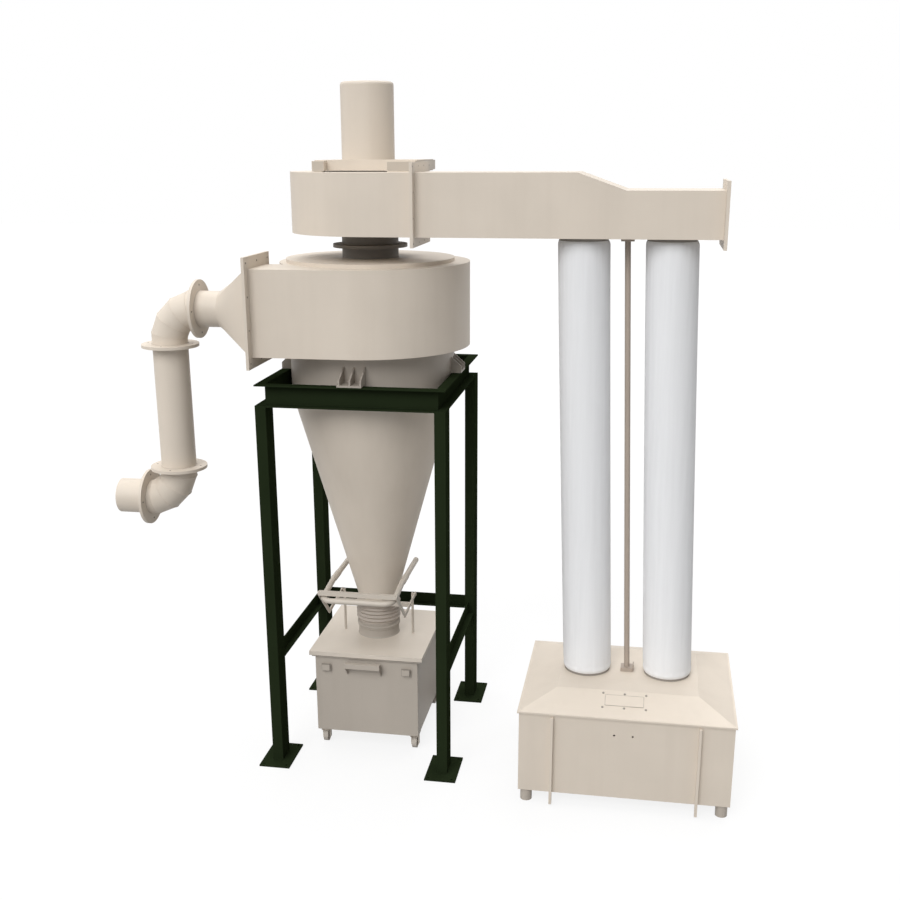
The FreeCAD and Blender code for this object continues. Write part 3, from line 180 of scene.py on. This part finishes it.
def cloth(name, colour):
    """Needle-felt filter cloth: a fine weave, soft vertical creases with painted shade in their
    hollows and painted light on their ridges, and a little sheen.
    """
    made, tree, shader, place = new_material(name)
    creases = noise(tree, stretched(tree, place, CREASE_STRETCH), CREASE_SCALE, CREASE_DETAIL)
    # painted shade and light: the colour follows the crease height, darker in the hollows and
    # lighter on the ridges
    crease_shading = mix_colours(tree, scaled(colour, CREASE_HOLLOW_SHADE), scaled(colour, CREASE_RIDGE_LIGHT), creases)
    threads = []
    for axis in ("X", "Z"):
        wave = add_node(tree, "ShaderNodeTexWave",
                        {"Vector": place, "Scale": WEAVE_SCALE, "Distortion": WEAVE_DISTORTION})
        wave.bands_direction = axis
        threads.append(wave.outputs["Fac"])
    weave = bump(tree, calculate(tree, "ADD", *threads), WEAVE_STRENGTH, WEAVE_DEPTH)
    fill(tree, shader, {
        "Base Color": crease_shading,
        "Roughness": CLOTH_ROUGHNESS,
        "Sheen Weight": SHEEN,
        "Sheen Roughness": SHEEN_ROUGHNESS,
        "Normal": bump(tree, creases, CREASE_STRENGTH, CREASE_DEPTH, weave),
    })
    return made


BEIGE = paint("beige_enamel", linear(216, 205, 191), streak=0.12)
GREEN = paint("green_enamel", linear(37, 46, 29), rough=0.6, mottle=0.14, shine=0.0)
# painted shade: the bin's beige is darkened for the shade on the bin under the stand
BIN_SHADE = paint("bin_enamel", linear(183, 174, 163), streak=0.14)
LID = paint("lid_enamel", linear(214, 204, 191), streak=0.08)
# the neck's dark grey is partly its own paint and partly painted shade between the fan housing and
# the cyclone's top
NECK_PAINT_AND_SHADE = paint("dark_steel", linear(122, 116, 108), rough=0.6, mottle=0.1)
# painted shade: dark discs for the shade inside open holes
HOLE_SHADE = paint("hole_dark", linear(62, 57, 52), rough=0.8)
WELD = paint("weld_bead", linear(196, 185, 172), rough=0.45, grain=0.6)
TIE_BAR = paint("tie_bar_paint", linear(168, 155, 143))
# painted shade: darker beige for the barrel under the scroll, the dust spout under the cone and the
# box's feet; its streaks are dust runs
SHADE_AND_DUST = paint("dusty_enamel", linear(185, 176, 165), mottle=0.07, streak=0.16)
# painted shade: the bag cuffs are darkened for the shade under the duct and under the bags
CUFF_SHADE = paint("cuff_steel", linear(142, 136, 129), rough=0.6, mottle=0.08)
# painted shade: the support brackets are darkened for the shade under the scroll's overhang
BRACKET_SHADE = paint("bracket_enamel", linear(164, 156, 146), mottle=0.08, streak=0.16)
# painted shade: the lever's links, tube, rods and pivot bar are darkened for the shade under the
# cyclone
LEVER_SHADE = paint("lever_enamel", linear(200, 191, 179), mottle=0.06)
# painted shade: the spigot sleeve and the bellows' cuff are darkened for the shade under the cone
SLEEVE_SHADE = paint("spigot_sleeve_enamel", linear(172, 164, 154), mottle=0.07)
# painted shade: darker plates on the motor rails' front ends
RAIL_END_SHADE = paint("rail_end_enamel", linear(186, 177, 165))
# painted shade: the beige bellows are darkened for the shade under the cone
BELLOWS_SHADE = paint("bellows_rubber", linear(182, 172, 162), rough=0.6)
WHEEL = paint("wheel_rubber", linear(196, 188, 178), rough=0.7)
SCREW = paint("screw_steel", linear(150, 143, 134), rough=0.45)
# painted shade: dark plates round the bin's catches
CATCH_SHADE = paint("catch_plate_enamel", linear(142, 135, 126))
BAG = cloth("filter_cloth", linear(236, 237, 239))

FINISHES = {
    BIN_SHADE: ("bin", "bin_fittings"),
    LID: ("bin_lid",),
    GREEN: ("legs", "base_plates", "ring_beam", "braces"),
    NECK_PAINT_AND_SHADE: ("gas_outlet_pipe",),
    TIE_BAR: ("tie_bar",),
    CUFF_SHADE: ("bag_cuffs",),
    SHADE_AND_DUST: ("barrel", "dust_spout", "dust_box_feet"),
    BRACKET_SHADE: ("support_brackets",),
    LEVER_SHADE: ("side_links", "lever_tube", "lift_rods", "pivot_bar"),
    BELLOWS_SHADE: ("bellows",),
    WHEEL: tuple(name for name in frame["nodes"] if name.startswith("castor_wheel")),
}
FINISH_OF = {name: made for made, names in FINISHES.items() for name in names}


def smooth_by_angle(item):
    """Round faces shade smoothly and corners stay crisp."""
    item.data.shade_smooth()
    item.data.set_sharp_from_angle(angle=CORNER_ANGLE)


for name, item in frame["nodes"].items():
    item.data.materials.clear()
    item.data.materials.append(FINISH_OF.get(name, BEIGE))
    smooth_by_angle(item)


# Making pieces

BEAD_SIDES, RING_SIDES = 6, 96
LUMP, LUMP_PACE = 0.18, 2.4         # a bead's slow lumps: share of its radius, radians per point
RIPPLE, RIPPLE_PACE = 0.1, 5.1      # its quick lumps


def place_in_scene(name, data):
    """A new object in the scene."""
    item = bpy.data.objects.new(name, data)
    bpy.context.scene.collection.objects.link(item)
    return item


def mesh_from(name, work):
    """A mesh from a bmesh, which is then freed."""
    mesh = bpy.data.meshes.new(name)
    work.to_mesh(mesh)
    work.free()
    return mesh


def piece(name, mesh, material, body):
    """A new object with a material, riding on a body."""
    item = place_in_scene(name, mesh)
    mesh.materials.clear()
    mesh.materials.append(material)
    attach(item, body)
    return item


def angles(count):
    """Evenly spaced angles round a circle."""
    return [math.tau * index / count for index in range(count)]


def circle(centre, radius, axis, count):
    """Points on a circle about an axis."""
    turn = UP.rotation_difference(axis)
    return [centre + turn @ Vector((radius * math.cos(angle), radius * math.sin(angle), 0))
            for angle in angles(count)]


def skin(work, rings):
    """Faces between each ring of corners and the next one."""
    for low, high in zip(rings, rings[1:]):
        for index in range(len(low)):
            after = (index + 1) % len(low)
            work.faces.new((low[index], low[after], high[after], high[index]))


def lathe(work, profile, place, turn, sides):
    """Add a turned solid to a bmesh: profile is (radius, height) from its foot to its top."""
    rings = []
    for radius, height in profile:
        spots = [Vector((radius * math.cos(angle), radius * math.sin(angle), height))
                 for angle in angles(sides)]
        rings.append([work.verts.new(place + turn @ spot) for spot in spots])
    skin(work, rings)
    work.faces.new(list(reversed(rings[0])))
    work.faces.new(rings[-1])


def turned_ring(name, centre, profile, material, body):
    """A ring turned from an outline of (radius, height) that runs back to its start."""
    work = bmesh.new()
    rings = []
    for radius, height in profile:
        spots = [(centre.x + radius * math.cos(angle), centre.y + radius * math.sin(angle), height)
                 for angle in angles(RING_SIDES)]
        rings.append([work.verts.new(spot) for spot in spots])
    skin(work, rings + rings[:1])
    smooth_by_angle(piece(name, mesh_from(name, work), material, body))


def bead(name, path, radius, material, body, closed=True):
    """A weld bead along points, slightly lumpy."""
    work = bmesh.new()
    count = len(path)
    rings = []
    for index, spot in enumerate(path):
        before = path[index - 1] if closed or index else path[0]
        after = path[(index + 1) % count] if closed or index < count - 1 else path[-1]
        along = (after - before).normalized()
        side = along.cross(UP if abs(along.z) < 0.9 else RIGHT).normalized()
        rise = side.cross(along)
        girth = 1 + LUMP * math.sin(index * LUMP_PACE) + RIPPLE * math.sin(index * RIPPLE_PACE)
        spokes = [side * math.cos(angle) + rise * math.sin(angle) for angle in angles(BEAD_SIDES)]
        rings.append([work.verts.new(spot + spoke * (radius * girth)) for spoke in spokes])
    skin(work, rings + rings[:1] if closed else rings)
    mesh = mesh_from(name, work)
    mesh.shade_smooth()
    return piece(name, mesh, material, body)


def panel(name, low, high, material, body, bevel=0.0006):
    """A thin sheet with rounded edges, filling the space from low to high."""
    work = bmesh.new()
    filled = Matrix.LocRotScale((low + high) / 2, None, high - low)
    bmesh.ops.create_cube(work, size=1, matrix=filled)
    bmesh.ops.bevel(work, geom=list(work.edges), offset=bevel, segments=2, affect="EDGES")
    return piece(name, mesh_from(name, work), material, body)


# Filter bags

BAG_R, CUFF_R = 0.168, 0.157
BAG_ROUND, BAG_UP = 72, 84          # corners round a bag and steps up it
BACK_SEAM = BAG_ROUND // 4          # the column of corners at the back
TUCK = 0.006                        # how far each end is drawn over its cuff
CUFF_GAP = 0.0015                   # between a cuff and the cloth round it
CREASE_ROOM = 0.003                 # left within a bag's full radius for creases and swelling
SWELL_LENGTH = 0.006                # a bag widens from its cuff over about this length
GATHER, GATHER_LENGTH = 0.0022, 0.085   # depth of the pleats at a cuff, and how far they run out
CREASE = 0.0011                     # depth of the slow waves along a bag
EVEN_STEPS = 0.35                   # the rest of the steps up a bag crowd towards its ends
SETTLE_FRAMES = 20
MOST_SETTLED = 0.007                # the furthest that a corner may move as the cloth settles
SEAM_R, SEAM_LIFT = 0.0032, 0.0012  # a back seam's radius, and how far its middle is proud


def bag_shape(node):
    """Rings of a slack cloth tube between its cuffs: gathered at both ends and softly creased."""
    low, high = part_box(node)
    foot = Vector((high.x - BAG_R, (low.y + high.y) / 2, low.z - TUCK))
    head = Vector((low.x + BAG_R, (low.y + high.y) / 2, high.z + TUCK))
    rings = []
    for level in range(BAG_UP + 1):
        even = level / BAG_UP
        share = EVEN_STEPS * even + (1 - EVEN_STEPS) * (0.5 - 0.5 * math.cos(math.pi * even))
        centre = foot.lerp(head, share)
        from_end = min(share, 1 - share) * (head.z - foot.z)
        swell = 1 - math.exp(-from_end / SWELL_LENGTH)
        radius = CUFF_R + CUFF_GAP + (BAG_R - CREASE_ROOM - CUFF_R) * swell
        gather = GATHER * math.exp(-from_end / GATHER_LENGTH) * swell
        ring = []
        for angle in angles(BAG_ROUND):
            pleats = math.sin(19 * angle + 2 * math.sin(2 * angle))
            waves = (math.sin(3 * angle + 1.3 * share)
                     + 0.7 * math.sin(5 * angle + 2.1 - 0.9 * share))
            out = radius + (gather * pleats + CREASE * waves * swell)
            ring.append(centre + Vector((math.cos(angle), math.sin(angle), 0)) * out)
        rings.append(ring)
    return foot, head, rings


def evaluated(item):
    """A new mesh of the object with its modifiers applied."""
    depsgraph = bpy.context.evaluated_depsgraph_get()
    return bpy.data.meshes.new_from_object(item.evaluated_get(depsgraph))


def settled(item, pins):
    """The object's mesh once its cloth has settled under air pressure, with the pins held."""
    group = item.vertex_groups.new(name="pins")
    group.add(pins, 1.0, "REPLACE")
    modifier = item.modifiers.new("cloth", "CLOTH")
    modifier.settings.quality = 5
    modifier.settings.mass = 0.4
    modifier.settings.tension_stiffness = 40
    modifier.settings.compression_stiffness = 40
    modifier.settings.shear_stiffness = 12
    modifier.settings.bending_stiffness = 2.0
    modifier.settings.use_pressure = True
    modifier.settings.uniform_pressure_force = 3.0
    modifier.settings.effector_weights.gravity = 0.25
    modifier.settings.vertex_group_mass = "pins"
    modifier.collision_settings.use_collision = False
    modifier.point_cache.frame_start = 1
    modifier.point_cache.frame_end = SETTLE_FRAMES
    for step in range(1, SETTLE_FRAMES + 1):
        bpy.context.scene.frame_set(step)
    mesh = evaluated(item)
    item.modifiers.remove(modifier)
    bpy.context.scene.frame_set(1)
    return mesh


def settle(item):
    """Move the object's corners as its cloth settles, with the last two rings at each end held."""
    ends = [index for ring in (0, 1, BAG_UP - 1, BAG_UP)
            for index in range(ring * BAG_ROUND, (ring + 1) * BAG_ROUND)]
    loose = settled(item, ends)
    for before, after in zip(item.data.vertices, loose.vertices):
        moved = after.co - before.co
        before.co += moved * min(1, MOST_SETTLED / max(moved.length, 1e-6))
    bpy.data.meshes.remove(loose)


def open_back(mesh):
    """Part the tube's faces along its back column, where the seam runs."""
    work = bmesh.new()
    work.from_mesh(mesh)
    work.verts.ensure_lookup_table()
    sewn = {work.verts[ring * BAG_ROUND + BACK_SEAM] for ring in range(BAG_UP + 1)}
    bmesh.ops.split_edges(work, edges=[edge for edge in work.edges if set(edge.verts) <= sewn])
    work.to_mesh(mesh)
    work.free()


def bag(name, node):
    """One bag: a sheet of settled cloth, closed by a sewn seam down its back."""
    foot, head, rings = bag_shape(node)
    work = bmesh.new()
    skin(work, [[work.verts.new(spot) for spot in ring] for ring in rings])
    mesh = mesh_from(name, work)
    item = place_in_scene(name, mesh)
    settle(item)
    back = [mesh.vertices[ring * BAG_ROUND + BACK_SEAM].co + Vector((0, SEAM_LIFT, 0))
            for ring in range(BAG_UP + 1)]
    open_back(mesh)
    item.modifiers.new("smooth", "SUBSURF").levels = 1
    final = evaluated(item)
    bpy.data.objects.remove(item)
    final.name = name
    final.shade_smooth()
    shown = piece(name, final, BAG, "machine")
    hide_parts(node)
    seam = bead(name + "_seam", back, SEAM_R, BAG, "machine", closed=False)


bag("bag_first", "filter_bag_first")
bag("bag_second", "filter_bag_second")


# Flanges

# Outlines of an open hole's look: (share of the rim's radius, height above the face).
HOLE_DISC = ((0.72, 0), (0.72, 0.0004), (0.5, 0.0003))
HOLE_RIM = ((1, 0), (1, 0.0002), (0.86, 0.0007), (0.76, 0.0007), (0.74, 0.0001))


def open_holes(name, places, normals, size, body):
    """Unused holes in a flange: one piece of dark discs, painted shade where each hole is, and one
    of worn rims round them.
    """
    for label, outline, sides, material in (("_holes", HOLE_DISC, 16, HOLE_SHADE),
                                            ("_hole_rims", HOLE_RIM, 20, BEIGE)):
        work = bmesh.new()
        for place, normal in zip(places, normals):
            lathe(work, [(size * share, height) for share, height in outline],
                  place, UP.rotation_difference(normal), sides)
        piece(name + label, mesh_from(name + label, work), material, body)


def rim_spots(low, high, x, inset, across, upright):
    """Places evenly round a rectangular rim that stands across X."""
    spots = []
    for index in range(across):
        y = low.y + inset + (high.y - low.y - 2 * inset) * index / (across - 1)
        spots += [Vector((x, y, low.z + inset)), Vector((x, y, high.z - inset))]
    for index in range(1, upright - 1):
        z = low.z + inset + (high.z - low.z - 2 * inset) * index / (upright - 1)
        spots += [Vector((x, low.y + inset, z)), Vector((x, high.y - inset, z))]
    return spots


def rim_holes(node, inset, across, upright, size):
    """Holes through a rectangular flange, seen on its right and left faces."""
    low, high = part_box(node)
    places, normals = [], []
    for way, x in ((1, high.x), (-1, low.x)):
        spots = rim_spots(low, high, x, inset, across, upright)
        places += spots
        normals += [RIGHT * way] * len(spots)
    open_holes(node, places, normals, size, "machine")


rim_holes("inlet_flange", 0.038, 3, 4, 0.009)
rim_holes("fan_outlet_flange", 0.024, 4, 4, 0.007)
rim_holes("duct_end_plates", 0.028, 4, 4, 0.007)

PIPE_R = 0.120
RING_R, RING_HOLES, RING_HOLE_SIZE = 0.159, 4, 0.009    # the holes of a round flange
UPPER_JOINT_Z = 3.015                           # where the upper elbow's flange meets the pipe's
WELD_R, WELD_OUT = 0.004, 0.001                 # a bead's radius, and how far its middle is proud
GORES, GORE_SEAM_R, GORE_SEAM_OUT = 4, 0.0015, 0.0006

PIPE_LOW, PIPE_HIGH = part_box("down_pipe")
PIPE = (PIPE_LOW + PIPE_HIGH) / 2
UPPER_LOW, UPPER_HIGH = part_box("upper_elbow")
LOWER_LOW, LOWER_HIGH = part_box("lower_elbow")
STUB_LOW, STUB_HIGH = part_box("inlet_stub")
FLANGE = STUB_HIGH.x - LOWER_LOW.x              # the thickness of one round flange
ROUND_JOINTS = {
    "upper_side": (Vector((UPPER_HIGH.x, PIPE.y, UPPER_HIGH.z - PIPE_R)), RIGHT),
    "upper_joint": (Vector((PIPE.x, PIPE.y, UPPER_JOINT_Z)), UP),
    "lower_joint": (Vector((PIPE.x, PIPE.y, PIPE_LOW.z)), UP),
    "lower_side": (Vector((STUB_HIGH.x - FLANGE, PIPE.y, (STUB_LOW.z + STUB_HIGH.z) / 2)), RIGHT),
}


def round_joint(name, centre, axis):
    """The open holes and the two weld beads of a pair of round flanges."""
    places, normals = [], []
    for way in (1, -1):
        places += circle(centre + axis * way * FLANGE, RING_R, axis, RING_HOLES)
        normals += [axis * way] * RING_HOLES
    open_holes(name, places, normals, RING_HOLE_SIZE, "machine")
    for label, way in (("near", 1), ("far", -1)):
        path = circle(centre + axis * way * FLANGE, PIPE_R + WELD_OUT, axis, PIPE_POINTS)
        bead("%s_flange_weld_%s" % (name, label), path, WELD_R, WELD, "machine")


for name, (centre, axis) in ROUND_JOINTS.items():
    round_joint(name, centre, axis)


def gore_seams(name, start, radius, first, turn):
    """Weld beads along the mitres of a bend. It leaves start along first, towards turn."""
    step = math.radians(90 / GORES)
    side = first.cross(turn)
    reach, wide = 1 / math.cos(step / 2), PIPE_R + GORE_SEAM_OUT
    for index in range(GORES):
        bent = step * (index + 0.5)
        out = (first * math.sin(bent) - turn * math.cos(bent)) * reach
        middle = start + turn * radius + out * radius
        path = [middle + (out * math.cos(angle) + side * math.sin(angle)) * wide
                for angle in angles(PIPE_POINTS)]
        bead("%s_seam_%d" % (name, index), path, GORE_SEAM_R, BEIGE, "machine")


gore_seams("upper_elbow", Vector((PIPE.x, PIPE.y, UPPER_LOW.z)), UPPER_HIGH.x - PIPE.x, UP, RIGHT)
gore_seams("lower_elbow", Vector((PIPE.x, PIPE.y, LOWER_HIGH.z)), PIPE.x - LOWER_LOW.x, -UP, -RIGHT)


# Covers, panels and small fastenings

ABOVE_ROOF = 2                                  # a height to look down on the dust box's roof from
OUTLINE_R, OUTLINE_LIFT = 0.0022, 0.002
OUTLINE_SHARES = (0.02, 0.25, 0.5, 0.75, 0.98)   # places along each side of the cover
SCREWS_BESIDE, SCREWS_FRONT, SCREWS_BACK = 0.016, 0.017, 0.014      # distances from the cover
PAN_HEAD = [(0.0085, 0), (0.0085, 0.0012), (0.0066, 0.0038), (0.0026, 0.0046)]
PLATE_PROUD = 0.0012                            # how far the thin plates stand out in front
CATCH_WIDTH, CATCH_PLATE_Z = 0.056, (0.626, 0.684)
SLEEVE_FOOT, LID_LIFT = 0.7775, 0.0402          # the sleeve's lower end, and the lid's travel
SPIGOT_Z = 0.85                                 # of the lid, only its spigot reaches higher


def on_roof(x, y):
    """The place on the dust box's roof under a point, and the way that the roof faces there."""
    roof = frame["nodes"]["dust_box_roof"]
    inside = roof.matrix_world.inverted() @ Vector((x, y, ABOVE_ROOF))
    _, place, normal, _ = roof.ray_cast(inside, -UP)
    return roof.matrix_world @ place, normal


def cover_details():
    """The access cover's outline, a thin bead of painted shade along the cover's edge, and the six
    pan heads round it.
    """
    low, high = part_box("access_cover")
    corners = [(low.x, low.y), (high.x, low.y), (high.x, high.y), (low.x, high.y)]
    path = []
    for (x, y), (next_x, next_y) in zip(corners, corners[1:] + corners[:1]):
        for share in OUTLINE_SHARES:
            place, normal = on_roof(x + (next_x - x) * share, y + (next_y - y) * share)
            path.append(place + normal * OUTLINE_LIFT)
    # painted shade: a darker bead along the cover's edge
    bead("access_cover_gasket", path, OUTLINE_R, SHADE_AND_DUST, "machine")
    work = bmesh.new()
    for x in (low.x - SCREWS_BESIDE, (low.x + high.x) / 2, high.x + SCREWS_BESIDE):
        for y in (low.y - SCREWS_FRONT, high.y + SCREWS_BACK):
            place, normal = on_roof(x, y)
            lathe(work, PAN_HEAD, place, UP.rotation_difference(normal), 16)
    piece("access_cover_screws", mesh_from("access_cover_screws", work), SCREW, "machine")


def rail_ends():
    """End plates on the motor rails, inset from the rails' edges, in a darker paint: painted shade
    in the rails' front ends.
    """
    low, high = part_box("motor_rails")
    front, back = low.y - PLATE_PROUD, low.y + 0.001
    panel("rail_end_left", Vector((low.x + 0.003, front, low.z + 0.003)),
          Vector((low.x + 0.078, back, high.z - 0.008)), RAIL_END_SHADE, "machine")
    panel("rail_end_right", Vector((high.x - 0.183, front, low.z + 0.007)),
          Vector((high.x - 0.003, back, high.z - 0.012)), RAIL_END_SHADE, "machine")


def catch_plates():
    """Dark plates behind the bin's two catches, a little higher and wider than the catches: painted
    shade round the catches.
    """
    low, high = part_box("bin_fittings")
    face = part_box("bin")[0].y
    for label, left in (("left", low.x), ("right", high.x - CATCH_WIDTH)):
        panel("catch_plate_" + label, Vector((left - 0.004, face - PLATE_PROUD, CATCH_PLATE_Z[0])),
              Vector((left + CATCH_WIDTH + 0.007, face + 0.0004, CATCH_PLATE_Z[1])), CATCH_SHADE, "bin")


def spigot_sleeve():
    """The sleeve round the lid's spigot, and the bellows' cuff that it slides up into, both in a
    darker paint that is painted shade under the cone.
    """
    bellows_low, bellows_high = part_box("bellows")
    centre = (bellows_low + bellows_high) / 2
    top = bellows_low.z - 0.0006
    joint = top - LID_LIFT
    spigot = max(math.hypot(spot.co.x - centre.x, spot.co.y - centre.y)
                 for spot in frame["nodes"]["bin_lid"].data.vertices if spot.co.z > SPIGOT_Z)
    # Outlines of (distance out from the spigot, height).
    sleeve = [(0.006, SLEEVE_FOOT), (0.0025, SLEEVE_FOOT + 0.008), (0.0016, SLEEVE_FOOT + 0.012),
              (0.0016, joint - 0.008), (0.0045, joint - 0.005), (0.0045, joint),
              (0.0002, joint), (0.0002, SLEEVE_FOOT)]
    cuff = [(0.0074, joint), (0.0074, top - 0.031), (0.0102, top - 0.028), (0.0102, top - 0.022),
            (0.0074, top - 0.019), (0.0074, top), (0.0056, top), (0.0056, joint)]
    for name, outline, body in (("spigot_sleeve", sleeve, "lid"),
                                ("bellows_cuff", cuff, "machine")):
        profile = [(spigot + out, height) for out, height in outline]
        turned_ring(name, centre, profile, SLEEVE_SHADE, body)


def tie_lug():
    """An upright lug beside the tie bar's foot block."""
    low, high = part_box("tie_bar")
    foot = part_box("dust_box_roof")[1].z
    panel("tie_bar_lug", Vector((high.x - 0.001, low.y + 0.006, foot - 0.001)),
          Vector((high.x + 0.007, high.y - 0.014, foot + 0.052)), TIE_BAR, "machine", 0.003)


cover_details()
rail_ends()
catch_plates()
spigot_sleeve()
tie_lug()


# Camera, light and floor

# The camera as solved from the stand and the dust box, in the photograph's pixels and radians.
PHOTO, FOCAL, CENTRE = 900, 1162.3, (447.5, 507.9)
YAW, PITCH, ROLL = 0.1752, 0.2988, -0.0042
CAMERA_FROM_AXIS = Vector((1.9434, -7.9742, 4.2741))
SENSOR = 36.0                       # millimetres

# Each light's name, the direction to it, its strength, and its width in degrees.
SUNS = (
    ("key", (-0.20, -0.76, 0.62), 2.0, 40),
    ("top", (0.0, 0.30, 0.95), 1.9, 60),
    ("left", (-0.9, -0.2, 0.4), 0.45, 60),
)
SKY, SKY_COLOUR = 0.34, (1, 0.99, 0.98, 1)
WHITE = (1, 1, 1, 1)
FLOOR_SIZE, FLOOR_Z = 60, -0.0005
FLOOR_SEEN = (0.9, 0.9, 0.9, 1)     # the floor's colour to the camera
FLOOR_LIGHTING = (0.3, 0.3, 0.3, 1)     # and to the light that it throws back
FLOOR_GLOW = 0.84                   # share of plain white where the floor is seen straight


def camera():
    """The photograph's view."""
    data = bpy.data.cameras.new("camera")
    data.sensor_width = SENSOR
    data.lens = SENSOR * FOCAL / PHOTO
    data.shift_x = (PHOTO / 2 - CENTRE[0]) / PHOTO
    data.shift_y = (CENTRE[1] - PHOTO / 2) / PHOTO
    data.clip_end = 100
    forward = Vector((-math.sin(YAW) * math.cos(PITCH), math.cos(YAW) * math.cos(PITCH),
                      -math.sin(PITCH)))
    right = Vector((math.cos(YAW), math.sin(YAW), 0))
    level = Matrix((right, right.cross(forward), -forward)).transposed()
    turned = level @ Matrix.Rotation(ROLL, 3, "Z")
    barrel_low, barrel_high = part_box("barrel")
    axis = (barrel_low + barrel_high) / 2
    axis.z = 0
    item = place_in_scene("camera", data)
    item.matrix_world = Matrix.Translation(axis + CAMERA_FROM_AXIS) @ turned.to_4x4()
    bpy.context.scene.camera = item


def sun(name, direction, strength, spread):
    """Even light from far off, with soft-edged shadows."""
    data = bpy.data.lights.new(name, "SUN")
    data.energy = strength
    data.angle = math.radians(spread)
    place_in_scene(name, data).rotation_euler = Vector(direction).to_track_quat("Z", "Y").to_euler()


def seen_straight(tree):
    """1 where the camera sees a place straight, in a reflection or through glass, else 0."""
    path = tree.nodes.new("ShaderNodeLightPath").outputs
    seen = path["Is Camera Ray"]
    for way in ("Is Glossy Ray", "Is Transmission Ray"):
        seen = calculate(tree, "MAXIMUM", seen, path[way])
    return seen


def mix_shaders(tree, output, first, second, factor):
    """Lead two shaders, mixed by a factor, to an output node."""
    both = add_node(tree, "ShaderNodeMixShader", {"Fac": factor, 1: first, 2: second})
    fill(tree, tree.nodes[output], {"Surface": both.outputs["Shader"]})


def floor():
    """A plain pale floor, well past the view. It looks nearly white but throws back less light."""
    work = bmesh.new()
    bmesh.ops.create_grid(work, x_segments=2, y_segments=2, size=FLOOR_SIZE)
    mesh = mesh_from("floor", work)
    item = place_in_scene("floor", mesh)
    item.location.z = FLOOR_Z
    made = bpy.data.materials.new("floor_white")
    made.use_nodes = True
    tree = made.node_tree
    seen = seen_straight(tree)
    shader = tree.nodes["Principled BSDF"]
    fill(tree, shader, {
        "Base Color": mix_colours(tree, FLOOR_LIGHTING, FLOOR_SEEN, seen),
        "Roughness": 0.9,
        "Specular IOR Level": 0.0,
    })
    glow = add_node(tree, "ShaderNodeEmission", {"Strength": 1.0})
    mix_shaders(tree, "Material Output", shader.outputs["BSDF"], glow.outputs["Emission"],
                calculate(tree, "MULTIPLY", seen, FLOOR_GLOW))
    mesh.materials.append(made)


def world():
    """Soft light from all round. The camera and reflections see white."""
    made = bpy.data.worlds.new("studio")
    made.use_nodes = True
    tree = made.node_tree
    soft = tree.nodes["Background"]
    fill(tree, soft, {"Color": SKY_COLOUR, "Strength": SKY})
    white = add_node(tree, "ShaderNodeBackground", {"Color": WHITE, "Strength": 1.0})
    mix_shaders(tree, "World Output", soft.outputs["Background"], white.outputs["Background"],
                seen_straight(tree))
    bpy.context.scene.world = made


camera()
for name, direction, strength, spread in SUNS:
    sun(name, direction, strength, spread)
world()
floor()
bpy.context.scene.view_settings.view_transform = "Standard"
